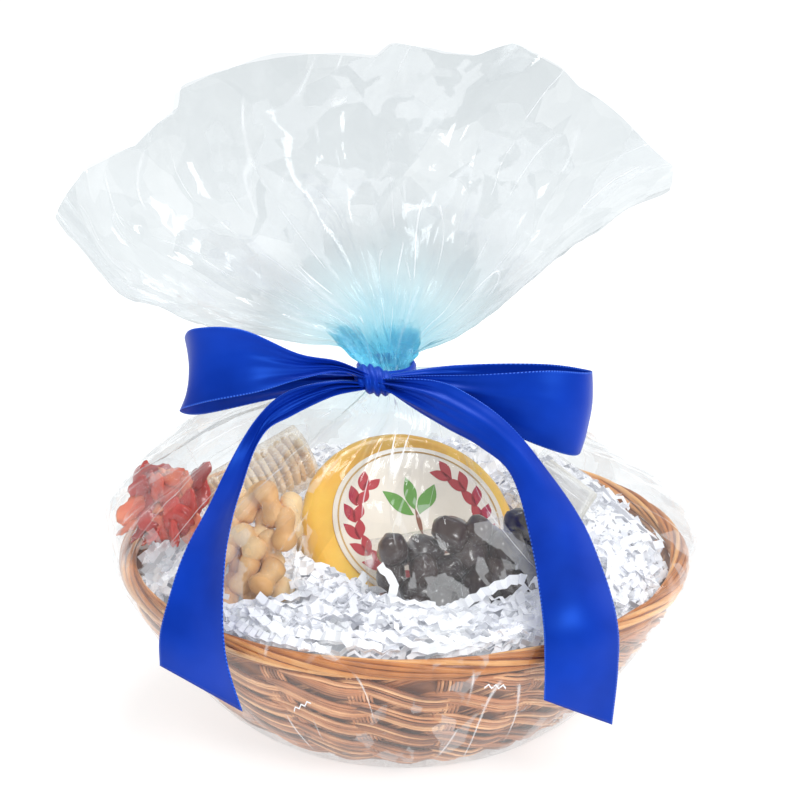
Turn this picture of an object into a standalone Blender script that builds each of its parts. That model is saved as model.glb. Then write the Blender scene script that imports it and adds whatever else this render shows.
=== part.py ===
"""Cheese and cracker gift basket: metres, +Z up, the floor at z = 0, the front at -Y."""
import math
import random

import bmesh
import bpy
from mathutils import Matrix, Vector
from mathutils.bvhtree import BVHTree

MM = 0.001
COLLECTION_NAME = "cheese_and_cracker_gift_basket"
CUTTER_COLLECTION_NAME = "cutters"
GAP = 0.35

# Clear film wrap, in mm: floor, pouch, neck and the open fan above the bow
FILM = 0.8
WRAP_COLUMNS = 48
WRAP_PLEATS = 12
NECK_X = -9.0
NECK_TOP = 192.0
# Height, left reach, right reach, depth and pleat height of each ring of the pouch
POUCH_RINGS = (
    (0.0, 40.0, 40.0, 40.0, 0.0),
    (0.0, 76.5, 76.5, 76.5, 0.0),
    (4.5, 89.0, 89.0, 89.0, 0.2),
    (17.0, 104.5, 104.5, 104.5, 0.3),
    (38.0, 122.5, 122.5, 122.5, 0.3),
    (62.0, 138.8, 138.8, 138.8, 0.3),
    (84.0, 151.2, 151.2, 151.6, 0.2),
    (101.0, 155.5, 151.5, 153.0, 0.8),
    (118.0, 149.5, 131.0, 138.0, 1.4),
    (136.0, 127.0, 98.0, 113.0, 2.0),
    (153.0, 100.0, 73.0, 84.0, 2.6),
    (165.0, 74.0, 58.0, 58.0, 2.6),
    (173.0, 52.0, 47.0, 38.0, 2.4),
    (179.0, 34.0, 27.0, 22.0, 1.8),
    (184.0, 20.4, 2.4, 11.4, 1.0),
    (192.0, 20.2, 2.2, 11.2, 1.0),
)
# Reach of the fan from the neck, by the angle above the floor in degrees
FAN_EDGE = (
    (28.0, 160.0), (34.0, 173.0), (44.0, 169.0), (56.0, 169.0), (60.0, 173.0),
    (69.0, 173.0), (74.0, 161.0), (89.0, 162.0), (92.0, 155.0), (105.0, 161.0),
    (126.0, 172.0), (129.0, 164.0), (139.0, 164.0), (147.0, 179.0), (157.0, 182.0),
    (161.0, 172.0),
)
# Share of the reach, right and left side angles, half depth and ruffle height of each ring
FAN_RINGS = (
    (0.13, 4.0, 176.0, 15.0, 1.6),
    (0.24, 13.0, 175.0, 23.0, 2.6),
    (0.38, 22.0, 173.0, 34.0, 3.8),
    (0.53, 28.0, 171.0, 45.0, 5.0),
    (0.67, 31.0, 169.0, 54.0, 6.4),
    (0.83, 32.0, 165.5, 62.0, 8.0),
    (1.0, 31.0, 156.7, 68.0, 9.5),
)
FAN_FOOT = 5.0
BACK_LEAN = 0.25
BACK_SPREAD = 0.05
FRONT_DEPTH = 0.55
BACK_DEPTH = 0.8
FRONT_RISE = 8.0
SIDE_RUFFLE = 0.35
PLEAT_RISE = 0.6
PLEAT_RISE_FROM = 110.0
PLEAT_SPREAD = (0.55, 1.25)
WRAP_SEED = 11

# Wicker basket, in mm
BASKET_COLUMNS = 60
BASKET_STAKES = 20
BASKET_BOTTOM = 1.4
WALL_THICKNESS = 4.2
BASKET_OUTER = (
    (1.4, 74.0), (5.5, 83.0), (15.0, 97.0), (27.0, 109.5), (40.0, 120.5),
    (54.0, 130.5), (68.0, 139.0), (79.8, 144.6),
)
INNER_HEIGHTS = (5.6, 16.0, 38.0, 62.0, 79.8)
WEAVE_RELIEF = 1.0
RIM_RADIUS = 144.2
RIM_HEIGHT = 85.2
RIM_TUBE = 4.7
RIM_SIDES = 5
RIM_TWISTS = 30
RIM_TWIST_RELIEF = 0.35

# Cheese wheel with its label, in mm
CHEESE_CENTRE = (4.4, -11.0, 106.0)
CHEESE_LEAN = 51.0
CHEESE_TURN = 20.0
CHEESE_RADIUS = 57.5
CHEESE_THICKNESS = 30.0
CHEESE_EDGE = 7.0
CHEESE_EDGE_CUT = 0.3
CHEESE_SIDES = 32
LABEL_RADIUS = 48.0
LABEL_SHIFT = (3.5, -1.0)
LABEL_THICKNESS = 0.5

# Film bags and packs, in mm: centre, width axis, height axis, half sizes, lumps and facets
# across and up
BAGS = {
    "nut_bag": ((-76.0, -62.0, 113.0), (0.92, -0.38, 0.05), (0.12, 0.5, 0.86),
                (22.0, 29.0, 13.0), (2.0, 3.0), (8, 9)),
    "dried_fruit_bag": ((-123.5, -7.0, 115.0), (0.85, -0.5, 0.15), (0.2, 0.55, 0.8),
                        (19.5, 18.0, 6.0), (2.5, 2.0), (8, 7)),
    "chocolate_bag": ((27.0, -72.0, 106.0), (0.97, 0.2, 0.1), (0.0, 0.5, 0.86),
                      (46.0, 22.5, 13.0), (4.0, 2.0), (13, 6)),
    "cracker_pack": ((-76.0, 19.0, 118.0), (0.78, 0.5, 0.3), (-0.3, 0.15, 0.94),
                     (33.0, 17.0, 10.0), (8.0, 1.0), (12, 4)),
    "side_pack": ((80.0, 8.0, 112.0), (0.72, -0.62, -0.3), (0.1, 0.4, 0.91),
                  (22.0, 20.0, 7.0), (2.0, 2.0), (6, 6)),
}
BAG_LUMP = 1.6
BAG_SEAL = 0.7
BAG_SEAL_NARROWING = 0.08
POCKET_GAP = 0.9

# Crinkle cut paper shred, in mm
CORE_COLUMNS = 24
CORE_SIDE_GAP = 1.0
# Radius and height of the heap's top from the rim inwards
CORE_TOP = ((136.0, 86.0), (126.0, 93.0), (110.0, 97.0), (88.0, 98.0), (60.0, 94.0), (30.0, 88.0))
CORE_CENTRE_HEIGHT = 85.0
CORE_SIDE_HEIGHTS = (6.6, 16.0, 38.0, 62.0, 78.0)
CORE_RELIEF = 2.4
CORE_RIGHT_RISE = 5.0
CORE_RIGHT_RISE_RADII = (60.0, 130.0)
STRIP_COUNT = 25
STRIP_WIDTH = 4.0
STRIP_LENGTHS = (26.0, 44.0)
STRIP_BEND = 0.5
STRIP_AREA_SHARES = (0.42, 0.93)
HEAP_RADIUS = 137.0
STEEPEST_BED = 0.55
STRIP_THICKNESS = 1.1
STRIP_FOLDS = 5
STRIP_FOLD_HEIGHT = 2.4
STRIP_ARCH = 4.5
STRIP_SINK = 1.1
STRIP_CLEARANCE = 0.7
PAPER_SEED = 7

# Satin ribbon bow, in mm: both edges of each run of the ribbon, from the knot outwards
RIBBON_THICKNESS = 0.9
KNOT_CENTRE = (-15.1, -24.6, 189.6)
KNOT_HALF_SIZE = (10.0, 10.4, 6.6)
KNOT_FOLDS = 5
KNOT_RELIEF = 0.06
KNOT_SLANT = 0.25
KNOT_SIDES = 14
KNOT_RINGS = 8
BAND_COLUMNS = 24
BAND_INNER = 12.9
BAND_OUTER = 15.1
BAND_EDGE = 0.5
BAND_LOW = 185.2
BAND_HIGH = 190.6
RIBBON_RUNS = {
    "loop_left": (
        ((-17, -27, 192), (-32, -40, 205), (-52, -51, 213), (-80, -58, 228), (-103, -54, 227),
         (-109, -40, 217), (-101, -28, 211), (-62, -25, 201), (-17, -23, 192)),
        ((-17, -28, 190), (-32, -42, 200), (-50, -54, 201), (-72, -63, 197), (-99, -62, 191),
         (-112, -49, 182), (-101, -34, 175), (-62, -29, 182), (-17, -24, 190)),
    ),
    "loop_right": (
        ((-12, -27, 191), (8, -33, 195), (36, -40, 198), (70, -48, 203), (90, -42, 200),
         (92, -27, 196), (70, -21, 197), (26, -20, 196), (-12, -22, 191)),
        ((-12, -28, 189), (7, -35, 187), (32, -42, 178), (62, -52, 167), (84, -48, 158),
         (87, -35, 158), (64, -29, 166), (23, -25, 181), (-12, -23, 188)),
    ),
    "tail_left": (
        ((-17, -28, 189), (-34, -38, 194), (-57, -44, 191), (-73, -50, 179), (-90, -69, 154),
         (-109, -109, 124), (-118, -121, 96), (-119, -120, 76)),
        ((-17, -29, 187), (-35, -39, 187), (-56, -48, 179), (-70, -56, 172), (-80, -80, 154),
         (-86, -121, 130), (-86, -140, 94), (-78, -140, 61)),
    ),
    "tail_right": (
        ((-12, -29, 192), (16, -43, 196), (34, -50, 190), (52, -60, 179), (70, -75, 161),
         (90, -101, 137), (102, -129, 107), (103, -135, 80), (101, -134, 51)),
        ((-12, -30, 188), (6, -43, 180), (21, -52, 174), (38, -63, 168), (53, -78, 158),
         (62, -112, 134), (66, -140, 109), (67, -146, 90), (67, -146, 70)),
    ),
}
RIBBON_STEPS = 2
CROWN_FADE_STEPS = 3.0
RIBBON_CROWN = {"loop_left": 3.5, "loop_right": 2.5, "tail_left": 3.0, "tail_right": 4.0}

# Name: colour, roughness, metallic
MATERIALS = {
    "clear_wrap": ((0.78, 0.87, 0.88, 1.0), 0.12, 0.0),
    "basket_wall": ((0.36, 0.15, 0.05, 1.0), 0.55, 0.0),
    "basket_rim": ((0.48, 0.22, 0.08, 1.0), 0.5, 0.0),
    "paper_shred": ((0.86, 0.87, 0.92, 1.0), 0.75, 0.0),
    "cheese_wheel": ((0.85, 0.55, 0.13, 1.0), 0.35, 0.0),
    "cheese_label": ((0.82, 0.75, 0.62, 1.0), 0.45, 0.0),
    "nut_bag": ((0.66, 0.38, 0.18, 1.0), 0.3, 0.0),
    "dried_fruit_bag": ((0.6, 0.08, 0.04, 1.0), 0.25, 0.0),
    "chocolate_bag": ((0.07, 0.03, 0.022, 1.0), 0.2, 0.0),
    "cracker_pack": ((0.78, 0.64, 0.42, 1.0), 0.35, 0.0),
    "side_pack": ((0.72, 0.72, 0.68, 1.0), 0.3, 0.0),
    "ribbon_bow": ((0.01, 0.06, 0.58, 1.0), 0.35, 0.0),
}


def clear_scene():
    for item in list(bpy.data.objects):
        bpy.data.objects.remove(item, do_unlink=True)


def make_collection(name):
    group = bpy.data.collections.new(name)
    bpy.context.scene.collection.children.link(group)
    return group


def make_material(name):
    colour, roughness, metallic = MATERIALS[name]
    material = bpy.data.materials.new(name)
    material.use_nodes = True
    shader = material.node_tree.nodes["Principled BSDF"]
    shader.inputs["Base Color"].default_value = colour
    shader.inputs["Roughness"].default_value = roughness
    shader.inputs["Metallic"].default_value = metallic
    material.diffuse_color = colour
    return material


def make_object(name, mesh_edit, group, smooth=True):
    mesh = bpy.data.meshes.new(name)
    mesh_edit.to_mesh(mesh)
    mesh_edit.free()
    for face in mesh.polygons:
        face.use_smooth = smooth
    item = bpy.data.objects.new(name, mesh)
    group.objects.link(item)
    return item


def apply_modifiers(item):
    graph = bpy.context.evaluated_depsgraph_get()
    finished = bpy.data.meshes.new_from_object(item.evaluated_get(graph))
    item.modifiers.clear()
    item.data = finished


def blend(rows, position, column=1):
    """Value between the rows at a position along their first column."""
    if position <= rows[0][0]:
        return rows[0][column]
    for low, high in zip(rows, rows[1:]):
        if position <= high[0]:
            share = (position - low[0]) / (high[0] - low[0])
            return low[column] + share * (high[column] - low[column])
    return rows[-1][column]


def grid_surface(columns, rows, place, closed):
    """Sheet of columns by rows quads, each corner put in place by its two numbers."""
    surface = bmesh.new()
    bmesh.ops.create_grid(surface, x_segments=columns, y_segments=rows, size=0.5)
    for corner in surface.verts:
        column = round((corner.co.x + 0.5) * columns)
        row = round((corner.co.y + 0.5) * rows)
        corner.co = Vector(place(column, row)) * MM
    if closed:
        bmesh.ops.remove_doubles(surface, verts=surface.verts, dist=1e-6)
        bmesh.ops.dissolve_degenerate(surface, edges=surface.edges, dist=1e-7)
    return surface


def face_outwards(solid):
    bmesh.ops.recalc_face_normals(solid, faces=solid.faces)
    if solid.calc_volume(signed=True) < 0.0:
        bmesh.ops.reverse_faces(solid, faces=solid.faces)


def pouch_place(angle, row, pleat):
    height, left, right, depth, lift = POUCH_RINGS[row]
    centre = (right - left) / 2.0
    reach = (right + left) / 2.0
    x = centre + (reach + lift * pleat) * math.cos(angle)
    y = -(depth + lift * pleat) * math.sin(angle)
    rise = PLEAT_RISE * lift * pleat if height > PLEAT_RISE_FROM else 0.0
    return (x, y, height + rise)


def fan_place(angle, row, pleat):
    share, right_angle, left_angle, depth, ruffle = FAN_RINGS[row]
    middle = (right_angle + left_angle) / 2.0
    half = (left_angle - right_angle) / 2.0
    bearing = middle - half * math.cos(angle)
    reach = share * blend(FAN_EDGE, bearing)
    turn = math.radians(bearing)
    side = math.sin(angle)
    x = NECK_X + reach * math.cos(turn)
    swing = ruffle * pleat * (SIDE_RUFFLE + (1.0 - SIDE_RUFFLE) * abs(side))
    z = NECK_TOP + FAN_FOOT + reach * math.sin(turn)
    if side < 0.0:
        y = -BACK_DEPTH * depth * side + swing
        z -= BACK_LEAN * y
        x += BACK_SPREAD * (x - NECK_X) * -side
    else:
        y = -FRONT_DEPTH * depth * side - swing
        z += FRONT_RISE * share * side
    return (x, y, z)


def build_wrap(group):
    chance = random.Random(WRAP_SEED)
    heights = [chance.uniform(*PLEAT_SPREAD) for _ in range(WRAP_COLUMNS)]
    pouch_rows = len(POUCH_RINGS)
    rows = pouch_rows + len(FAN_RINGS)

    def place(column, row):
        turn = column % WRAP_COLUMNS
        angle = 2.0 * math.pi * turn / WRAP_COLUMNS
        pleat = math.cos(WRAP_PLEATS * angle) * heights[turn]
        if row == 0:
            return (0.0, 0.0, 0.0)
        if row <= pouch_rows:
            return pouch_place(angle, row - 1, pleat)
        return fan_place(angle, row - pouch_rows - 1, pleat)

    surface = grid_surface(WRAP_COLUMNS, rows, place, True)
    bmesh.ops.recalc_face_normals(surface, faces=surface.faces)
    surface.normal_update()
    lowest = min(surface.faces, key=lambda face: face.calc_center_median().z)
    if lowest.normal.z > 0.0:
        bmesh.ops.reverse_faces(surface, faces=surface.faces)
    wrap = make_object("clear_wrap", surface, group)
    shell = wrap.modifiers.new("film", "SOLIDIFY")
    shell.thickness = FILM * MM
    shell.offset = -1.0
    apply_modifiers(wrap)
    return wrap


def wall_radius(height):
    return blend(BASKET_OUTER, height)


def build_wall(group):
    outer = list(reversed(BASKET_OUTER))
    profile = [(0.0, INNER_HEIGHTS[0], 0)]
    profile += [(wall_radius(height) - WALL_THICKNESS, height, 0) for height in INNER_HEIGHTS]
    for row, (height, radius) in enumerate(outer):
        bump = 1 if 0 < row < len(outer) - 1 else 0
        profile.append((radius, height, bump * (1 if row % 2 else -1)))
    profile.append((0.0, BASKET_BOTTOM, 0))

    def place(column, row):
        angle = 2.0 * math.pi * (column % BASKET_COLUMNS) / BASKET_COLUMNS
        radius, height, bump = profile[row]
        radius += WEAVE_RELIEF * bump * math.cos(BASKET_STAKES * angle)
        return (radius * math.cos(angle), -radius * math.sin(angle), height)

    surface = grid_surface(BASKET_COLUMNS, len(profile) - 1, place, True)
    face_outwards(surface)
    return make_object("basket_wall", surface, group)


def build_rim(group):
    def place(column, row):
        angle = 2.0 * math.pi * (column % BASKET_COLUMNS) / BASKET_COLUMNS
        roll = 2.0 * math.pi * (row % RIM_SIDES) / RIM_SIDES
        twist = math.cos(2.0 * roll + RIM_TWISTS * angle)
        tube = RIM_TUBE + RIM_TWIST_RELIEF * (twist - 1.0)
        radius = RIM_RADIUS + tube * math.cos(roll)
        return (radius * math.cos(angle), -radius * math.sin(angle),
                RIM_HEIGHT + tube * math.sin(roll))

    surface = grid_surface(BASKET_COLUMNS, RIM_SIDES, place, True)
    face_outwards(surface)
    return make_object("basket_rim", surface, group)


def cheese_frame(across, up, lift):
    """Axes of the leaning wheel, its origin moved over the face and off it."""
    lean = Matrix.Rotation(math.radians(90.0 - CHEESE_LEAN), 4, "X")
    turned = Matrix.Rotation(math.radians(CHEESE_TURN), 4, "Z") @ lean
    centre = (Vector(CHEESE_CENTRE) + turned @ Vector((across, up, lift))) * MM
    return Matrix.Translation(centre) @ turned


def turned_solid(name, profile, sides, frame, group):
    """Solid turned about Z from its outline, top to bottom, then set on its frame."""
    def place(column, row):
        angle = 2.0 * math.pi * (column % sides) / sides
        radius, height = profile[row]
        return (radius * math.cos(angle), radius * math.sin(angle), height)

    solid = grid_surface(sides, len(profile) - 1, place, True)
    face_outwards(solid)
    bmesh.ops.transform(solid, matrix=frame, verts=solid.verts)
    return make_object(name, solid, group)


def cheese_profile(grow, top):
    edge = CHEESE_EDGE
    cut = CHEESE_EDGE_CUT * edge
    low = -CHEESE_THICKNESS - grow
    radius = CHEESE_RADIUS + grow
    return ((0.0, top), (radius - edge, top), (radius - cut, top - cut),
            (radius, top - edge), (radius, low + edge),
            (radius - cut, low + cut), (radius - edge, low), (0.0, low))


def build_cheese(group):
    wheel = turned_solid("cheese_wheel", cheese_profile(0.0, 0.0), CHEESE_SIDES,
                         cheese_frame(0.0, 0.0, 0.0), group)
    face = ((0.0, LABEL_THICKNESS), (LABEL_RADIUS, LABEL_THICKNESS),
            (LABEL_RADIUS, 0.0), (0.0, 0.0))
    label = turned_solid("cheese_label", face, CHEESE_SIDES,
                         cheese_frame(*LABEL_SHIFT, GAP), group)
    return wheel, label


def bag_frame(name):
    centre, across, up = BAGS[name][:3]
    x_axis = Vector(across).normalized()
    z_axis = x_axis.cross(Vector(up)).normalized()
    y_axis = z_axis.cross(x_axis)
    frame = Matrix((x_axis, y_axis, z_axis)).transposed().to_4x4()
    return Matrix.Translation(Vector(centre) * MM) @ frame


def bag_half_thickness(u, v, deep, lumps):
    """Half thickness of a filled film bag: full in the middle, thin at its end seals."""
    body = (1.0 - abs(v) ** 4) ** 0.75 * (1.0 - abs(u) ** 6) ** 0.6
    waves = math.sin(math.pi * (lumps[0] * u + 0.4 * v)) * math.sin(math.pi * (lumps[1] * v + 0.3))
    return BAG_SEAL + (deep + BAG_LUMP * waves) * body


def bag_solid(name, grow):
    half_width, half_height, deep = BAGS[name][3]
    lumps = BAGS[name][4]
    columns, rows = BAGS[name][5]
    solid = bmesh.new()
    bmesh.ops.create_grid(solid, x_segments=columns, y_segments=rows, size=1.0)
    copy = bmesh.ops.duplicate(solid, geom=solid.verts[:] + solid.edges[:] + solid.faces[:])
    under = {part for part in copy["geom"] if isinstance(part, bmesh.types.BMVert)}
    bmesh.ops.translate(solid, verts=list(under), vec=(0.0, 0.0, -0.1))
    rims = [edge for edge in solid.edges if edge.is_boundary]
    bmesh.ops.bridge_loops(solid, edges=rims)
    for corner in solid.verts:
        u, v = corner.co.x, corner.co.y
        side = -1.0 if corner in under else 1.0
        thick = bag_half_thickness(u, v, deep, lumps) + grow
        narrow = 1.0 - BAG_SEAL_NARROWING * abs(v) ** 3
        corner.co = Vector((u * (half_width + grow) * narrow,
                            v * (half_height + grow), side * thick)) * MM
    bmesh.ops.triangulate(solid, faces=solid.faces, quad_method="FIXED")
    bmesh.ops.transform(solid, matrix=bag_frame(name), verts=solid.verts)
    face_outwards(solid)
    return solid


def core_solid():
    """Heap of packed shred that fills the basket up to its uneven top."""
    profile = [(0.0, CORE_CENTRE_HEIGHT, 0.5)]
    profile += [(radius, height, 1.0) for radius, height in reversed(CORE_TOP)]
    inside = WALL_THICKNESS + CORE_SIDE_GAP
    profile += [(wall_radius(h) - inside, h, 0.0) for h in reversed(CORE_SIDE_HEIGHTS)]
    profile.append((0.0, CORE_SIDE_HEIGHTS[0], 0.0))
    nearest, farthest = CORE_RIGHT_RISE_RADII

    def place(column, row):
        turn = column % CORE_COLUMNS
        angle = 2.0 * math.pi * turn / CORE_COLUMNS
        radius, height, uneven = profile[row]
        wave = math.sin(5.0 * angle + row) + math.sin(9.0 * angle + 2.3 * row)
        x = radius * math.cos(angle)
        y = -radius * math.sin(angle)
        right = 0.0
        if nearest < radius < farthest:
            right = CORE_RIGHT_RISE * max(0.0, math.cos(angle))
        return (x, y, height + uneven * (CORE_RELIEF * wave + right))

    core = grid_surface(CORE_COLUMNS, len(profile) - 1, place, True)
    face_outwards(core)
    return core


def surface_height(tree, x, y):
    spot, normal, _, _ = tree.ray_cast(Vector((x, y, 0.3)), Vector((0.0, 0.0, -1.0)))
    if spot is None or normal.z < STEEPEST_BED:
        return None
    return spot.z


def shred_strip(tree, chance):
    """One crinkled strip that arches out of the heap, or None where it can't lie."""
    bearing = chance.uniform(0.0, 2.0 * math.pi)
    distance = math.sqrt(chance.uniform(*STRIP_AREA_SHARES)) * HEAP_RADIUS
    heading = chance.uniform(0.0, math.pi)
    length = chance.uniform(*STRIP_LENGTHS)
    bend = chance.uniform(-STRIP_BEND, STRIP_BEND)
    start = Vector((distance * math.cos(bearing), distance * math.sin(bearing), 0.0))
    route = []
    for step in range(STRIP_FOLDS + 1):
        share = step / STRIP_FOLDS
        turn = heading + bend * (share - 0.5)
        along = Vector((math.cos(turn), math.sin(turn), 0.0))
        spot = start + along * (length * (share - 0.5))
        if spot.xy.length > HEAP_RADIUS:
            return None
        height = surface_height(tree, spot.x * MM, spot.y * MM)
        if height is None:
            return None
        lift = STRIP_ARCH * math.sin(math.pi * share) - STRIP_SINK
        fold = STRIP_FOLD_HEIGHT * (1.0 if step % 2 else -0.4)
        spot.z = height / MM + lift + fold
        route.append((spot, Vector((-along.y, along.x, 0.0))))
    strip = bmesh.new()
    bmesh.ops.create_grid(strip, x_segments=STRIP_FOLDS, y_segments=1, size=0.5)
    for corner in strip.verts:
        spot, across = route[round((corner.co.x + 0.5) * STRIP_FOLDS)]
        corner.co = (spot + across * (STRIP_WIDTH * corner.co.y)) * MM
    under = bmesh.ops.extrude_face_region(strip, geom=strip.faces[:])["geom"]
    lowered = [part for part in under if isinstance(part, bmesh.types.BMVert)]
    bmesh.ops.translate(strip, verts=lowered, vec=(0.0, 0.0, -STRIP_THICKNESS * MM))
    face_outwards(strip)
    return strip


def clear_of(shape, trees, gap):
    """True where the shape keeps the gap from every tree and crosses none."""
    own = BVHTree.FromBMesh(shape)
    for tree in trees:
        if own.overlap(tree):
            return False
        for corner in shape.verts:
            near = tree.find_nearest(corner.co, gap)
            if near[0] is not None:
                return False
        for face in shape.faces:
            near = tree.find_nearest(face.calc_center_median(), gap)
            if near[0] is not None:
                return False
    return True


def tree_of(item):
    shape = bmesh.new()
    shape.from_mesh(item.data)
    tree = BVHTree.FromBMesh(shape)
    shape.free()
    return tree


def keep_largest(item):
    """Drop loose scrap, keeping the body with the most faces."""
    shape = bmesh.new()
    shape.from_mesh(item.data)
    left = set(shape.faces)
    bodies = []
    while left:
        seed = left.pop()
        body = {seed}
        edge_of_body = [seed]
        while edge_of_body:
            face = edge_of_body.pop()
            for edge in face.edges:
                for beside in edge.link_faces:
                    if beside in left:
                        left.remove(beside)
                        body.add(beside)
                        edge_of_body.append(beside)
        bodies.append(body)
    bodies.sort(key=len)
    scrap = [face for body in bodies[:-1] for face in body]
    bmesh.ops.delete(shape, geom=scrap, context="FACES")
    shape.to_mesh(item.data)
    shape.free()


def combine(item, group, operation, solver="EXACT"):
    joint = item.modifiers.new(operation.lower(), "BOOLEAN")
    joint.operation = operation
    joint.operand_type = "COLLECTION"
    joint.collection = group
    joint.solver = solver
    apply_modifiers(item)
    for used in list(group.objects):
        bpy.data.objects.remove(used, do_unlink=True)


def build_paper(group, cutters, neighbours):
    paper = make_object("paper_shred", core_solid(), group)
    pocket = cheese_profile(GAP, LABEL_THICKNESS + 3.0 * GAP)
    turned_solid("cheese_pocket", pocket, CHEESE_SIDES, cheese_frame(0.0, 0.0, 0.0), cutters)
    for name in BAGS:
        make_object(name + "_pocket", bag_solid(name, POCKET_GAP), cutters)
    combine(paper, cutters, "DIFFERENCE", "MANIFOLD")
    keep_largest(paper)
    tree = tree_of(paper)
    trees = [tree_of(item) for item in neighbours]
    chance = random.Random(PAPER_SEED)
    placed = 0
    while placed < STRIP_COUNT:
        strip = shred_strip(tree, chance)
        if strip is None:
            continue
        if not clear_of(strip, trees, STRIP_CLEARANCE * MM):
            strip.free()
            continue
        make_object("strip", strip, cutters)
        placed += 1
    combine(paper, cutters, "UNION", "MANIFOLD")
    keep_largest(paper)
    for face in paper.data.polygons:
        face.use_smooth = False
    return paper


def smooth_route(points, steps):
    """Points of a smooth curve that passes through the given ones."""
    route = []
    last = len(points) - 1
    for index in range(last):
        p0 = Vector(points[max(index - 1, 0)])
        p1 = Vector(points[index])
        p2 = Vector(points[index + 1])
        p3 = Vector(points[min(index + 2, last)])
        for step in range(steps):
            t = step / steps
            route.append(0.5 * (2.0 * p1 + (p2 - p0) * t
                                + (2.0 * p0 - 5.0 * p1 + 4.0 * p2 - p3) * t ** 2
                                + (3.0 * p1 - p0 - 3.0 * p2 + p3) * t ** 3))
    route.append(Vector(points[-1]))
    return route


def ribbon_run(name, group):
    """Ribbon between its two edges, crowned a little along the middle."""
    upper, lower = (smooth_route(edge, RIBBON_STEPS) for edge in RIBBON_RUNS[name])
    stations = len(upper) - 1
    crown = RIBBON_CROWN[name]

    def place(column, row):
        high = upper[column]
        low = lower[column]
        if row != 1:
            return high if row == 2 else low
        before = upper[max(column - 1, 0)]
        after = upper[min(column + 1, stations)]
        outward = (after - before).cross(high - low).normalized()
        fade = min(1.0, min(column, stations - column) / CROWN_FADE_STEPS)
        return (high + low) / 2.0 + outward * crown * fade

    surface = grid_surface(stations, 2, place, False)
    run = make_object(name, surface, group)
    shell = run.modifiers.new("cloth", "SOLIDIFY")
    shell.thickness = RIBBON_THICKNESS * MM
    shell.offset = 0.0
    apply_modifiers(run)
    return run


def build_bow(group, cutters):
    def knot_place(column, row):
        angle = 2.0 * math.pi * (column % KNOT_SIDES) / KNOT_SIDES
        tilt = math.pi * (row / KNOT_RINGS - 0.5)
        swell = 1.0 + KNOT_RELIEF * math.cos(KNOT_FOLDS * angle) * math.cos(tilt)
        x = KNOT_HALF_SIZE[0] * math.sin(tilt)
        y = KNOT_HALF_SIZE[1] * math.cos(tilt) * math.cos(angle) * swell
        z = KNOT_HALF_SIZE[2] * math.cos(tilt) * math.sin(angle) * swell
        return (KNOT_CENTRE[0] + x, KNOT_CENTRE[1] + y, KNOT_CENTRE[2] + z - KNOT_SLANT * x)

    knot = grid_surface(KNOT_SIDES, KNOT_RINGS, knot_place, True)
    face_outwards(knot)
    bow = make_object("ribbon_bow", knot, group)
    middle = (BAND_LOW + BAND_HIGH) / 2.0
    rounded = BAND_OUTER - BAND_EDGE
    section = ((BAND_INNER, BAND_LOW), (rounded, BAND_LOW), (BAND_OUTER, middle),
               (rounded, BAND_HIGH), (BAND_INNER, BAND_HIGH))

    def band_place(column, row):
        angle = 2.0 * math.pi * (column % BAND_COLUMNS) / BAND_COLUMNS
        radius, height = section[row % len(section)]
        return (NECK_X + radius * math.cos(angle), radius * math.sin(angle), height)

    band = grid_surface(BAND_COLUMNS, len(section), band_place, True)
    face_outwards(band)
    make_object("band", band, cutters)
    for name in RIBBON_RUNS:
        ribbon_run(name, cutters)
    combine(bow, cutters, "UNION")
    keep_largest(bow)
    return bow


def main():
    clear_scene()
    group = make_collection(COLLECTION_NAME)
    cutters = make_collection(CUTTER_COLLECTION_NAME)
    wrap = build_wrap(group)
    wall = build_wall(group)
    rim = build_rim(group)
    wheel, label = build_cheese(group)
    bags = [make_object(name, bag_solid(name, 0.0), group) for name in BAGS]
    build_paper(group, cutters, [wrap, wall, rim, wheel, label] + bags)
    build_bow(group, cutters)
    for item in group.objects:
        item.data.materials.clear()
        item.data.materials.append(make_material(item.name))


main()
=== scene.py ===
import bmesh
import bpy
import math
import random
from mathutils import Matrix, Vector, noise
from mathutils.bvhtree import BVHTree


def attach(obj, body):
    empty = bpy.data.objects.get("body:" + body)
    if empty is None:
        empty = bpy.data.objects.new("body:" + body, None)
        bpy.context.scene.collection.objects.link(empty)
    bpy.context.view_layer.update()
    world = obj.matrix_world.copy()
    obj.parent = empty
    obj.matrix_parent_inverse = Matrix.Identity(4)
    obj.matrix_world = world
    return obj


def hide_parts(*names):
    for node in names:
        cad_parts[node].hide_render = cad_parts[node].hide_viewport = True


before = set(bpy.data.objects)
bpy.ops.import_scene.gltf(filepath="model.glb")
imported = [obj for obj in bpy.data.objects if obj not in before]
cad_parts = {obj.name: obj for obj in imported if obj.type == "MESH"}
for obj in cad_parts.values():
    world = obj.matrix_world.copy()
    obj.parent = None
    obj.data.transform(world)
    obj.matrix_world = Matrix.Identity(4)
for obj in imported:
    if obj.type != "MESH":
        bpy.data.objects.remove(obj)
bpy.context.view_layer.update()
mm = 0.001
fullTurn = 2.0 * math.pi
# noise vectors differ from run to run unless they are seeded
noise.seed_set(5)

# camera, light and floor
view = {
    "target": (-0.002, 0.0, 0.170),
    "distance": 1.5,
    "elevation": 20.0,
    "lens": 131.1,
    "backdrop": (1.0, 1.0, 1.0, 1.0),
    "fill": (0.97, 0.985, 1.0, 1.0),
    "fillStrength": 0.64,
    # place, size and power of each soft box
    "lamps": (
        ((0.45, -1.1, 1.0), (0.5, 0.5), 11.5),
        ((-1.0, -0.6, 0.9), (0.25, 0.7), 0.5),
        ((0.1, 0.5, 1.35), (0.7, 0.4), 8.0),
        ((1.1, 0.2, 0.5), (0.2, 0.7), 1.9),
    ),
    "floor": (0.46, 0.48, 0.49, 1.0),
    "floorGlow": 0.72,
    "floorSize": 6.0,
}


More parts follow.
